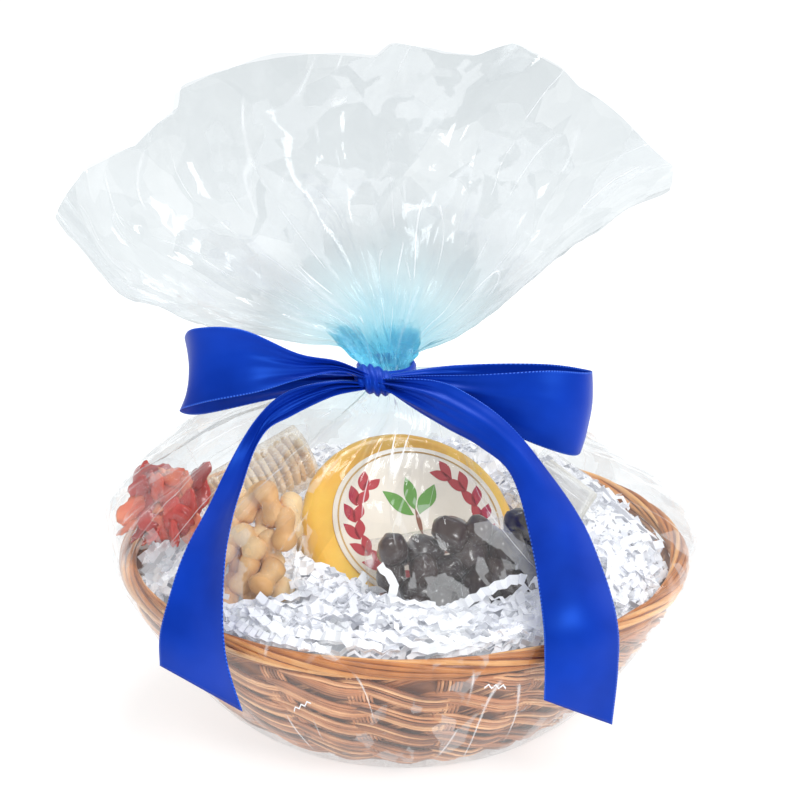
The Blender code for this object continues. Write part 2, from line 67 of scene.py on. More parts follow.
# shader helpers
def fillSocket(tree, socket, value):
    # a socket takes a number, a colour or another node's output
    if isinstance(value, bpy.types.NodeSocket):
        tree.links.new(value, socket)
    else:
        socket.default_value = value


def fillSockets(tree, node, **sockets):
    for name, value in sockets.items():
        fillSocket(tree, node.inputs[name.replace("_", " ")], value)


def addNode(tree, kind, **sockets):
    node = tree.nodes.new("ShaderNode" + kind)
    fillSockets(tree, node, **sockets)
    return node


def numbered(tree, kind, operation, *values):
    # a node whose sockets are told apart by their order
    node = tree.nodes.new("ShaderNode" + kind)
    node.operation = operation
    for socket, value in zip(node.inputs, values):
        fillSocket(tree, socket, value)
    return node.outputs[0]


def mathNode(tree, operation, *values):
    return numbered(tree, "Math", operation, *values)


def spread(tree, value, low, high, start=0.0, end=1.0):
    node = addNode(tree, "MapRange", Value=value, From_Min=low, From_Max=high, To_Min=start,
                   To_Max=end)
    return node.outputs["Result"]


def mixValues(tree, share, first, second):
    node = tree.nodes.new("ShaderNodeMix")
    for place, value in ((0, share), (2, first), (3, second)):
        tree.links.new(value, node.inputs[place])
    return node.outputs[0]


def addRamp(tree, value, stops):
    ramp = addNode(tree, "ValToRGB", Fac=value)
    while len(ramp.color_ramp.elements) < len(stops):
        ramp.color_ramp.elements.new(0.5)
    for element, (place, colour) in zip(ramp.color_ramp.elements, stops):
        element.position = place
        element.color = (*colour, 1.0)
    return ramp.outputs["Color"]


def toneOf(tree):
    # the tone that each part of a mesh carries
    node = tree.nodes.new("ShaderNodeAttribute")
    node.attribute_name = "tone"
    return node.outputs["Fac"]


def startMaterial(name):
    material = bpy.data.materials.new(name)
    material.use_nodes = True
    return material, material.node_tree, material.node_tree.nodes["Principled BSDF"]


def startGroup(name, inputs, outputs):
    group = bpy.data.node_groups.new(name, "ShaderNodeTree")
    for label, start in inputs:
        socket = group.interface.new_socket(name=label, in_out="INPUT",
                                            socket_type="NodeSocketFloat")
        socket.default_value = start
    for label in outputs:
        group.interface.new_socket(name=label, in_out="OUTPUT", socket_type="NodeSocketFloat")
    return group, group.nodes.new("NodeGroupInput"), group.nodes.new("NodeGroupOutput")


def addGroup(tree, group, **sockets):
    node = tree.nodes.new("ShaderNodeGroup")
    node.node_tree = group
    fillSockets(tree, node, **sockets)
    return node


def makeGrainGroup():
    # bumps and a soft blotch mask on object coordinates, shared by many finishes
    group, inner, outer = startGroup("surfaceGrain", (("Fine Scale", 400.0),
                                                      ("Blotch Scale", 40.0)),
                                     ("Height", "Blotch"))
    place = addNode(group, "TexCoord").outputs["Object"]
    for size, detail, result in (("Fine Scale", 4.0, "Height"), ("Blotch Scale", 3.0, "Blotch")):
        cloud = addNode(group, "TexNoise", Vector=place, Scale=inner.outputs[size], Detail=detail)
        group.links.new(cloud.outputs["Fac"], outer.inputs[result])
    return group


grainGroup = makeGrainGroup()


def addGrain(tree, fine, blotch):
    return addGroup(tree, grainGroup, Fine_Scale=fine, Blotch_Scale=blotch)


def addBump(tree, shader, height, strength, distance):
    bump = addNode(tree, "Bump", Height=height, Strength=strength, Distance=distance)
    tree.links.new(bump.outputs["Normal"], shader.inputs["Normal"])


def mottledMaterial(name, stops, grainSizes, bump=None, toneShare=0.0, footShade=0.0, **sockets):
    # a colour ramp read by soft blotches, and by the tone of each part where it has one
    material, tree, shader = startMaterial(name)
    grain = addGrain(tree, *grainSizes)
    value = grain.outputs["Blotch"]
    if toneShare:
        middle = toneShare / 2.0
        # painted shade: below the foot height the ramp is read darker
        if footShade:
            place = addNode(tree, "TexCoord").outputs["Object"]
            height = addNode(tree, "SeparateXYZ", Vector=place).outputs["Z"]
            middle = spread(tree, height, 0.0, basket["footHeight"] * mm, middle + footShade,
                            middle)
        shift = mathNode(tree, "SUBTRACT", toneOf(tree), middle)
        value = mathNode(tree, "MULTIPLY_ADD", value, toneShare, shift)
    fillSockets(tree, shader, Base_Color=addRamp(tree, value, stops), **sockets)
    if bump:
        addBump(tree, shader, grain.outputs["Height"], *bump)
    return material


# camera and light
def addObject(name, data):
    thing = bpy.data.objects.new(name, data)
    bpy.context.scene.collection.objects.link(thing)
    return thing


def aimAlong(thing, way):
    thing.rotation_mode = "QUATERNION"
    thing.rotation_quaternion = way.to_track_quat("-Z", "Y")


def setCamera():
    camera = addObject("camera", bpy.data.cameras.new("camera"))
    rise = math.radians(view["elevation"])
    away = Vector((0.0, -math.cos(rise), math.sin(rise)))
    camera.location = Vector(view["target"]) + away * view["distance"]
    aimAlong(camera, -away)
    camera.data.lens = view["lens"]
    camera.data.sensor_width = 36.0
    camera.data.clip_start = 0.01
    camera.data.clip_end = 50.0
    bpy.context.scene.camera = camera


def setLight():
    scene = bpy.context.scene
    scene.world = bpy.data.worlds.new("studio")
    scene.world.use_nodes = True
    tree = scene.world.node_tree
    tree.nodes.clear()
    # the camera sees a white backdrop, and the goods get a softer fill
    fill = addNode(tree, "Background", Color=view["fill"], Strength=view["fillStrength"])
    seen = addNode(tree, "Background", Color=view["backdrop"], Strength=1.0)
    path = addNode(tree, "LightPath")
    mix = mixShaders(tree, path.outputs["Is Camera Ray"], fill, seen)
    addNode(tree, "OutputWorld", Surface=mix.outputs["Shader"])
    for place, size, power in view["lamps"]:
        lamp = bpy.data.lights.new("softBox", "AREA")
        lamp.shape = "RECTANGLE"
        lamp.size, lamp.size_y = size
        lamp.energy = power
        box = addObject("softBox", lamp)
        box.location = place
        aimAlong(box, Vector(view["target"]) - Vector(place))
    scene.view_settings.view_transform = "Standard"
    scene.cycles.transparent_max_bounces = 32
    scene.cycles.max_bounces = 6
    scene.cycles.diffuse_bounces = 4
    scene.cycles.glossy_bounces = 2


def mixShaders(tree, share, first, second):
    mix = addNode(tree, "MixShader", Fac=share)
    tree.links.new(first.outputs[0], mix.inputs[1])
    tree.links.new(second.outputs[0], mix.inputs[2])
    return mix


# mesh helpers
def uvLayer(shape):
    return shape.loops.layers.uv.get("UVMap") or shape.loops.layers.uv.new("UVMap")


def gridSheet(columns, rows, place, closed=False):
    # a grid whose corners are set by their column and row
    sheet = bmesh.new()
    uvLayer(sheet)
    bmesh.ops.create_grid(sheet, x_segments=columns, y_segments=rows, size=0.5, calc_uvs=True)
    for corner in sheet.verts:
        column = round((corner.co.x + 0.5) * columns)
        row = round((corner.co.y + 0.5) * rows)
        corner.co = Vector(place(column, row)) * mm
    if closed:
        bmesh.ops.remove_doubles(sheet, verts=sheet.verts, dist=1e-7)
    return sheet


def closedSheet(columns, rows, place):
    # a grid sewn into a closed form that faces outwards
    sheet = gridSheet(columns, rows, place, True)
    faceOut(sheet)
    return sheet


def paintTone(shape, tone):
    layer = shape.verts.layers.float.get("tone") or shape.verts.layers.float.new("tone")
    for corner in shape.verts:
        corner[layer] = tone(corner.co) if callable(tone) else tone


def join(target, part, tone=None):
    # add one bmesh to another, with a tone for its material to read
    mesh = bpy.data.meshes.new("part")
    if tone is not None:
        paintTone(part, tone)
    part.to_mesh(mesh)
    part.free()
    target.from_mesh(mesh)
    bpy.data.meshes.remove(mesh)


def newMesh():
    shape = bmesh.new()
    shape.verts.layers.float.new("tone")
    uvLayer(shape)
    return shape


def faceOut(shape):
    bmesh.ops.recalc_face_normals(shape, faces=shape.faces)
    if shape.calc_volume(signed=True) < 0.0:
        bmesh.ops.reverse_faces(shape, faces=shape.faces)


def moved(shape, matrix):
    bmesh.ops.transform(shape, matrix=matrix, verts=shape.verts)
    return shape


def newPiece(name, shape, material, replaces=None, smooth=True):
    mesh = bpy.data.meshes.new(name)
    shape.to_mesh(mesh)
    shape.free()
    for face in mesh.polygons:
        face.use_smooth = smooth
    mesh.materials.append(material)
    piece = addObject(name, mesh)
    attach(piece, "root")
    if replaces:
        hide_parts(replaces)
    return piece


def thicken(piece, thickness):
    shell = piece.modifiers.new("thickness", "SOLIDIFY")
    shell.thickness = thickness * mm
    shell.offset = 0.0


def letLightThrough(piece):
    # thin clear film throws next to no shadow
    piece.visible_shadow = False
    piece.visible_diffuse = False


def between(rows, position):
    if position <= rows[0][0]:
        return rows[0][1]
    for low, high in zip(rows, rows[1:]):
        if position <= high[0]:
            share = (position - low[0]) / (high[0] - low[0])
            return low[1] + share * (high[1] - low[1])
    return rows[-1][1]


def splinePoint(points, position):
    last = len(points) - 1
    index = min(int(position), last - 1)
    t = position - index
    p0, p1 = points[max(index - 1, 0)], points[index]
    p2, p3 = points[index + 1], points[min(index + 2, last)]
    return 0.5 * (2.0 * p1 + (p2 - p0) * t + (2.0 * p0 - 5.0 * p1 + 4.0 * p2 - p3) * t * t
                  + (3.0 * p1 - p0 - 3.0 * p2 + p3) * t ** 3)


def wayAt(turn):
    # level direction away from the middle; it turns from the right towards the front
    return Vector((math.cos(turn), -math.sin(turn), 0.0))


def crumple(point, cell):
    # facets between raised ridges, from the nearest cell centre
    near = noise.voronoi(point / (cell * mm), distance_metric="CHEBYCHEV")[0]
    return 0.45 - min(near[0], 0.9)


# clear film wrap
film = {
    "columns": 360,
    "stepsPerRing": 7,
    "neckX": -9.0,
    "neckTop": 192.0,
    "fanFoot": 5.0,
    "fanReach": 165.0,
    "backLean": 0.25,
    "backSpread": 0.05,
    "frontDepth": 0.55,
    "backDepth": 0.8,
    "frontRise": 8.0,
    "sideRuffle": 0.35,
    "pleats": 12,
    "pleatLanes": 48,
    "pleatSpread": (0.55, 1.25),
    "pleatSeed": 11,
    "creases": 150,
    "creaseSeed": 5,
    # how far the aqua of the gathered film reaches, and from what height
    "aquaReach": 95.0,
    "aquaHeight": 197.0,
    # clear at the edge, aqua where it is gathered
    "fanTints": ((0.0, (0.91, 0.922, 0.924)), (0.14, (0.72, 0.745, 0.755)),
                 (0.4, (0.72, 0.81, 0.83)), (1.0, (0.42, 0.72, 0.81))),
    "pouchTints": ((0.0, (0.98, 0.984, 0.985)), (0.14, (0.76, 0.775, 0.78)),
                   (0.4, (0.76, 0.83, 0.85)), (1.0, (0.62, 0.79, 0.84))),
    # height, left, right, depth, pleat, crease, crumple
    "pouch": (
        (0.4, 40, 40, 40, 0, 0, 0),
        (0.4, 76.5, 76.5, 76.5, 0, 0, 0),
        (4.5, 88, 88, 88, 0.2, 0.3, 0.1),
        (17, 103.5, 103.5, 103.5, 0.3, 0.6, 0.25),
        (38, 121.5, 121.5, 121.5, 0.3, 0.8, 0.35),
        (62, 138, 138, 138, 0.3, 0.8, 0.35),
        (84, 150.9, 150.9, 151.2, 0.2, 0.5, 0.3),
        (101, 154.8, 151, 152.5, 0.8, 1.2, 1.2),
        (118, 149, 130.5, 137.5, 1.4, 2.2, 2),
        (136, 126.5, 97.5, 112.5, 2, 2.8, 2.2),
        (153, 99.5, 72.5, 83.5, 2.6, 3, 2.2),
        (165, 73.5, 57.5, 57.5, 2.6, 3, 1.8),
        (173, 51.5, 46.5, 37.5, 2.4, 2.6, 1.2),
        (179, 33.5, 26.5, 21.5, 1.8, 2.2, 0.8),
        (184, 20.1, 2.1, 11.1, 1, 1.2, 0.3),
        (192, 19.9, 1.9, 10.9, 1, 1.2, 0.3),
    ),
    # bearing and reach of the fan's edge
    "edge": (
        (28, 160), (34, 173), (44, 169), (56, 168), (60, 172), (69, 173), (74, 160), (80, 158),
        (89, 162), (92, 155), (98, 158), (105, 160), (116, 166), (126, 172), (129, 164),
        (139, 164), (147, 178), (157, 181), (161, 172),
    ),
    # share of the reach, right and left angles, half depth, ruffle, crease, crumple
    "fan": (
        (0.13, 4, 176, 15, 1.6, 3, 0.8),
        (0.24, 13, 175, 23, 2.6, 3.6, 1.5),
        (0.38, 22, 173, 34, 3.8, 4, 2.2),
        (0.53, 28, 171, 45, 5, 4.2, 2.8),
        (0.67, 31, 169, 54, 6.4, 4.2, 3.2),
        (0.83, 32, 165.5, 62, 8, 4, 3.4),
        (1, 31, 156.7, 68, 9.5, 3.6, 3),
    ),
}


def makeCreases(count, seed):
    # sharp folds up the film: turn, half width, height, first and last ring, drift
    chance = random.Random(seed)
    creases = []
    for _ in range(count):
        turn = chance.uniform(0.0, fullTurn)
        width = chance.uniform(0.03, 0.16)
        height = chance.uniform(-1.0, 1.0)
        start = chance.uniform(0.0, 19.0)
        creases.append((turn, width, height, start, start + chance.uniform(3.0, 9.0),
                        chance.uniform(-0.03, 0.03)))
    return creases


def creaseAt(creases, turn, ring):
    total = 0.0
    for place, width, height, start, end, drift in creases:
        if not start < ring < end:
            continue
        off = (turn - place - drift * (ring - start) + math.pi) % fullTurn - math.pi
        if abs(off) < width:
            fade = min(1.0, (ring - start) / 1.5, (end - ring) / 1.5)
            total += height * fade * (1.0 - abs(off) / width)
    return total


def filmPoint(turn, ring, pleat, crease):
    rings = film["pouch"]
    if ring < len(rings):
        height, left, right, depth, lift, fold, _ = rings[ring]
        push = lift * pleat + fold * crease
        rise = 0.6 * push if height > 110.0 else 0.0
        return Vector(((right - left) / 2.0 + ((right + left) / 2.0 + push) * math.cos(turn),
                       -(depth + push) * math.sin(turn), height + rise))
    share, rightSide, leftSide, depth, ruffle, fold, _ = film["fan"][ring - len(rings)]
    middle = (rightSide + leftSide) / 2.0
    bearing = middle - (leftSide - rightSide) / 2.0 * math.cos(turn)
    reach = share * between(film["edge"], bearing)
    side = math.sin(turn)
    swing = (ruffle * pleat + fold * crease) * (
        film["sideRuffle"] + (1.0 - film["sideRuffle"]) * abs(side))
    x = film["neckX"] + reach * math.cos(math.radians(bearing))
    z = film["neckTop"] + film["fanFoot"] + reach * math.sin(math.radians(bearing))
    if side < 0.0:
        y = -film["backDepth"] * depth * side + swing
        z -= film["backLean"] * y
        x += film["backSpread"] * (x - film["neckX"]) * -side
    else:
        y = -film["frontDepth"] * depth * side - swing
        z += film["frontRise"] * share * side
    return Vector((x, y, z))


def makeCrinkleGroup():
    # flat facets and fine crinkles laid round the piece by U and along it by V, so that they
    # narrow towards the neck as the gathered film does, and meet at its seam
    group, inner, outer = startGroup(
        "filmCrinkle", (("Facet Scale", 26.0), ("Length Share", 0.35), ("Crinkle Share", 0.0)),
        ("Height", "Patch", "Streak"))
    crinkleShare = inner.outputs["Crinkle Share"]
    lanes = addNode(group, "SeparateXYZ", Vector=addNode(group, "UVMap").outputs["UV"])
    turn = mathNode(group, "MULTIPLY", lanes.outputs["X"], fullTurn)
    x, y = (mathNode(group, "MULTIPLY", mathNode(group, operation, turn), 0.159)
            for operation in ("COSINE", "SINE"))
    z = mathNode(group, "MULTIPLY", lanes.outputs["Y"], inner.outputs["Length Share"])
    spot = addNode(group, "CombineXYZ", X=x, Y=y, Z=z).outputs["Vector"]
    warp = addNode(group, "TexNoise", Vector=spot, Scale=9.0, Detail=2.0)
    bend = numbered(group, "VectorMath", "MULTIPLY_ADD", warp.outputs["Color"],
                    (0.025, 0.025, 0.025), spot)
    # facets of three sizes: size, height, share of the tint, lean
    layers = ((1.0, 0.5, 0.64, (0.5, 0.7, 0.3)), (2.4, 0.3, 0.28, (1.1, 0.2, 0.9)),
              (5.5, 0.13, 0.08, (0.2, 1.0, 0.6)))
    height = patch = 0.0
    for size, rise, shade, lean in layers:
        turned = addNode(group, "Mapping", Vector=bend, Rotation=lean)
        scale = mathNode(group, "MULTIPLY", inner.outputs["Facet Scale"], size)
        cells = addNode(group, "TexVoronoi", Vector=turned.outputs["Vector"], Scale=scale)
        cells.distance = "CHEBYCHEV"
        colour = addNode(group, "SeparateXYZ", Vector=cells.outputs["Color"])
        height = mathNode(group, "MULTIPLY_ADD", cells.outputs["Distance"], rise, height)
        patch = mathNode(group, "MULTIPLY_ADD", colour.outputs["X"], shade, patch)
    narrow = numbered(group, "VectorMath", "MULTIPLY", spot, (1.0, 1.0, 0.12))
    lines = addNode(group, "TexNoise", Vector=narrow, Scale=70.0, Detail=4.0,
                    Roughness=0.6).outputs["Fac"]
    strands = spread(group, lines, 0.34, 0.66)
    # long thin creases painted white as highlight streaks where they would catch the light,
    # broken here and there
    drawn = numbered(group, "VectorMath", "MULTIPLY", spot, (1.0, 1.0, 0.22))
    creases = addNode(group, "TexNoise", Vector=drawn, Scale=30.0, Detail=0.5, Roughness=0.3)
    off = mathNode(group, "ABSOLUTE", mathNode(group, "SUBTRACT", creases.outputs["Fac"], 0.5))
    thin = spread(group, off, 0.001, 0.008, 1.0, 0.0)
    breaks = addNode(group, "TexNoise", Vector=spot, Scale=30.0, Detail=1.0)
    kept = spread(group, breaks.outputs["Fac"], 0.5, 0.6)
    fillSockets(group, outer, Height=mixValues(group, crinkleShare, height, lines),
                Patch=mixValues(group, crinkleShare, patch, strands),
                Streak=mathNode(group, "MULTIPLY", thin, kept))
    return group


crinkleGroup = makeCrinkleGroup()


def filmMaterial(name, haze, tints, rough=0.07, shine=(0.03, 0.6), facet=26.0, bump=0.0022,
                 milk=(0.95, 0.97, 0.98, 1.0), paintedGlow=0.3, share=0.35, paintedStreaks=0.6,
                 grazing=4.0, fading=False):
    # haze gives the white of the clear film and of a folded facet, partly the film's real milky
    # haze and partly a painted highlight
    material, tree, shader = startMaterial(name)
    gathered = toneOf(tree)
    crinkle = addGroup(tree, crinkleGroup, Facet_Scale=facet, Length_Share=share,
                       Crinkle_Share=spread(tree, gathered, 0.03, 0.4, 0.0, 0.9))
    # the tint varies a little from facet to facet
    tint = mathNode(tree, "MULTIPLY_ADD", crinkle.outputs["Patch"], 0.14, gathered)
    clear = addNode(tree, "BsdfTransparent", Color=addRamp(tree, tint, tints))
    gloss = addNode(tree, "BsdfGlossy", Color=(1.0, 1.0, 1.0, 1.0), Roughness=rough)
    addBump(tree, gloss, crinkle.outputs["Height"], 0.9, bump)
    facing = addNode(tree, "LayerWeight", Blend=0.5).outputs["Facing"]
    mirror = spread(tree, mathNode(tree, "POWER", facing, grazing), 0.0, 1.0, *shine)
    sheer = mixShaders(tree, mirror, clear, gloss)
    # folded facets stand out white with hard edges and a faint emission glow, a painted highlight
    # where they would catch the light
    fillSockets(tree, shader, Base_Color=milk, Roughness=0.3, Emission_Color=milk,
                Emission_Strength=paintedGlow)
    amount = spread(tree, crinkle.outputs["Patch"], 0.70, 0.72, *haze)
    # the painted crease highlights crowd together and show more where the film is gathered
    crowd = spread(tree, gathered, 0.0, 0.15, paintedStreaks, min(1.0, 2.0 * paintedStreaks))
    lit = mathNode(tree, "MULTIPLY_ADD", crinkle.outputs["Streak"], crowd, amount)
    lit.node.use_clamp = True
    if fading:
        lit = mathNode(tree, "MULTIPLY", lit, gathered)
    surface = mixShaders(tree, lit, sheer, shader)
    fillSockets(tree, tree.nodes["Material Output"], Surface=surface.outputs["Shader"])
    return material


# bunch of folds inside the neck
gather = {
    # height and half sizes
    "rings": ((183, 12.2, 12.2), (190, 12.4, 12.4), (192.6, 15.5, 14.5), (196, 18.5, 13.5),
              (200, 21, 12), (205, 23, 10.5), (210, 24.5, 9.5)),
    "tilt": -0.35,
    "tiltFrom": 190.0,
    "paleFrom": 195.0,
    "folds": 26,
    "deep": 0.5,
    "columns": 408,
    "stepsPerRing": 5,
    "seed": 17,
    "tints": ((0.0, (0.97, 0.99, 0.995)), (0.45, (0.80, 0.93, 0.96)),
              (1.0, (0.42, 0.80, 0.90))),
    "milk": (0.20, 0.66, 0.82, 1.0),
}


def makeGather():
    chance = random.Random(gather["seed"])
    lanes = 2 * gather["folds"]
    depth = [chance.uniform(0.5, 1.0) for _ in range(lanes)]
    drift = [chance.uniform(-0.35, 0.35) for _ in range(lanes)]
    columns, steps = gather["columns"], gather["stepsPerRing"]
    rings = [Vector(row) for row in gather["rings"]]

    def place(column, row):
        height, wide, deep = splinePoint(rings, row / steps)
        spot = lanes * (column % columns) / columns
        low = int(spot) % lanes
        high = (low + 1) % lanes
        part = spot % 1.0
        inward = [depth[k] * gather["deep"] * (k % 2) for k in (low, high)]
        size = 1.0 - inward[0] + (inward[0] - inward[1]) * part
        height += 7.0 * (row / (steps * 6.0)) ** 2 * noise.noise(Vector((spot * 0.45, 0.0, 9.0)))
        lean = (drift[low] + (drift[high] - drift[low]) * part) * row / (steps * 12.0)
        turn = fullTurn * column / columns + lean
        size *= 1.0 + 0.06 * noise.noise(Vector((spot * 0.8, row * 0.2, 3.0)))
        shift = gather["tilt"] * max(0.0, height - gather["tiltFrom"])
        return (film["neckX"] + shift + wide * size * math.cos(turn),
                -deep * size * math.sin(turn), height)

    shape = gridSheet(columns, steps * (len(rings) - 1), place, True)
    bmesh.ops.recalc_face_normals(shape, faces=shape.faces)
    top = gather["rings"][-1][0]
    paintTone(shape, lambda spot: min(max(
        (top - 1.0 - spot.z / mm) / (top - gather["paleFrom"]), 0.0), 1.0))
    aqua = filmMaterial("gatheredFilm", (0.35, 0.6), gather["tints"], 0.15, (0.02, 0.3), 60.0,
                        0.002, gather["milk"], 0.1, fading=True)
    letLightThrough(newPiece("film_gather", shape, aqua))


def makeWrap():
    chance = random.Random(film["pleatSeed"])
    laneCount = film["pleatLanes"]
    coarse = [chance.uniform(*film["pleatSpread"]) for _ in range(laneCount)]
    creases = makeCreases(film["creases"], film["creaseSeed"])
    columns, steps = film["columns"], film["stepsPerRing"]
    rings = film["pouch"] + film["fan"]
    neckRing = len(film["pouch"]) - 1
    lanes = []
    for column in range(columns):
        turn = fullTurn * column / columns
        spot = laneCount * column / columns
        low, high = coarse[int(spot) % laneCount], coarse[(int(spot) + 1) % laneCount]
        pleat = math.cos(film["pleats"] * turn) * (low + (high - low) * (spot % 1.0))
        lanes.append([filmPoint(turn, ring, pleat, creaseAt(creases, turn, ring))
                      for ring in range(len(rings))])

    def crumpleIn(spot, pouch):
        # how much the film is crumpled at a point, from its ring's last value
        if pouch:
            heights = [row[0] for row in film["pouch"]]
            above = [k for k in range(1, len(heights)) if spot.z / mm < heights[k]]
            return rings[min(above, default=neckRing)][-1]
        reach = Vector((spot.x / mm - film["neckX"], spot.z / mm - film["neckTop"]
                        - film["fanFoot"])).length / film["fanReach"]
        beyond = [row for row in film["fan"] if reach < row[0]]
        return (beyond or rings[-1:])[0][-1]

    neck = Vector((film["neckX"], 0.0, film["aquaHeight"])) * mm
    for name, firstRing, lastRing, pouch in (("film_pouch", 0, neckRing, 1),
                                             ("film_fan", neckRing, len(rings) - 1, 0)):
        def place(column, row, firstRing=firstRing, pouch=pouch):
            # the pouch starts from a point, which closes its foot
            if pouch and row == 0:
                return (0.0, 0.0, 0.4)
            return splinePoint(lanes[column % columns], firstRing + (row - pouch) / steps)

        shape = gridSheet(columns, (lastRing - firstRing) * steps + pouch, place, True)
        bmesh.ops.recalc_face_normals(shape, faces=shape.faces)
        shape.normal_update()
        lowest = min(shape.faces, key=lambda face: face.calc_center_median().z)
        if pouch and lowest.normal.z > 0.0:
            bmesh.ops.reverse_faces(shape, faces=shape.faces)
            shape.normal_update()
        paintTone(shape, lambda spot: max(
            0.0, 1.0 - (spot - neck).length / mm / film["aquaReach"]) ** 2)
        moves = []
        for corner in shape.verts:
            warped = corner.co + noise.noise_vector(corner.co * 40.0) * 0.006
            folds = 1.3 * crumple(warped, 30.0)
            folds += 0.6 * crumple(warped + Vector((0.3, 0.1, 0.2)), 13.0)
            moves.append((corner, corner.normal * (crumpleIn(corner.co, pouch) * folds * mm)))
        for corner, move in moves:
            corner.co += move
        letLightThrough(newPiece(name, shape, filmLooks[name], "clear_wrap"))
    makeGather()
    print("film wrap done")


# wicker basket
basket = {
    # height and radius of the outer wall
    "outer": ((1.4, 74), (5.5, 83), (15, 97), (27, 109.5), (40, 120.5), (54, 130.5), (68, 139),
              (79.8, 144.6)),
    # radius and height of the lining that closes the gaps of the weave
    "lining": ((0, 4.6), (76, 4.9), (92, 15), (115.5, 40), (134, 68), (140.4, 79), (140.9, 78.6),
               (135.2, 68), (116.7, 39.4), (93.2, 14.4), (79, 3.6), (71, 2.2), (0, 2.2)),
    "stakes": 20,
    "bands": 11,
    "rodsPerBand": 8,
    "rod": 0.92,
    "swing": 2.1,
    "slant": 0.75,
    "segments": 8,
    "stakeRods": 7,
    "stakeRod": 0.8,
    "stakeWidth": 13.0,
    "stakeSteps": 36,
    "rimRadius": 144.2,
    "rimHeight": 85.2,
    "rimTube": 3.75,
    "rimRods": 13,
    "rimRod": 1.3,
    "rimTurns": 4,
    "seed": 3,
    # dark, middle and light of the rods; painted shade makes them darker below this height
    "wicker": ((0.05, (0.17, 0.05, 0.016)), (0.5, (0.58, 0.215, 0.075)),
               (0.95, (0.98, 0.56, 0.27))),
    "rimWicker": ((0.05, (0.24, 0.06, 0.01)), (0.5, (0.60, 0.21, 0.04)),
                  (0.95, (0.88, 0.48, 0.18))),
    "footHeight": 60.0,
    "footShade": 0.22,
}


def wallAt(share):
    # point, outward and upward direction on the outer wall by the share of its height
    rows = basket["outer"]
    lengths = [0.0]
    for low, high in zip(rows, rows[1:]):
        lengths.append(lengths[-1] + math.hypot(high[0] - low[0], high[1] - low[1]))
    want = share * lengths[-1]
    index = 0
    while want > lengths[index + 1] and index < len(rows) - 2:
        index += 1
    part = (want - lengths[index]) / (lengths[index + 1] - lengths[index])
    low, high = rows[index], rows[index + 1]
    z = low[0] + part * (high[0] - low[0])
    r = low[1] + part * (high[1] - low[1])
    run = Vector((high[1] - low[1], high[0] - low[0])).normalized()
    return r, z, Vector((run.y, -run.x)), run


def ringRod(segments, sides, centre, radius):
    # closed rod round the basket; centre gives its point, outward and upward by the turn
    def place(column, row):
        spot, out, up = centre(fullTurn * (column % segments) / segments)
        roll = fullTurn * (row % sides) / sides
        return spot + (out * math.cos(roll) + up * math.sin(roll)) * radius

    return closedSheet(segments, sides, place)


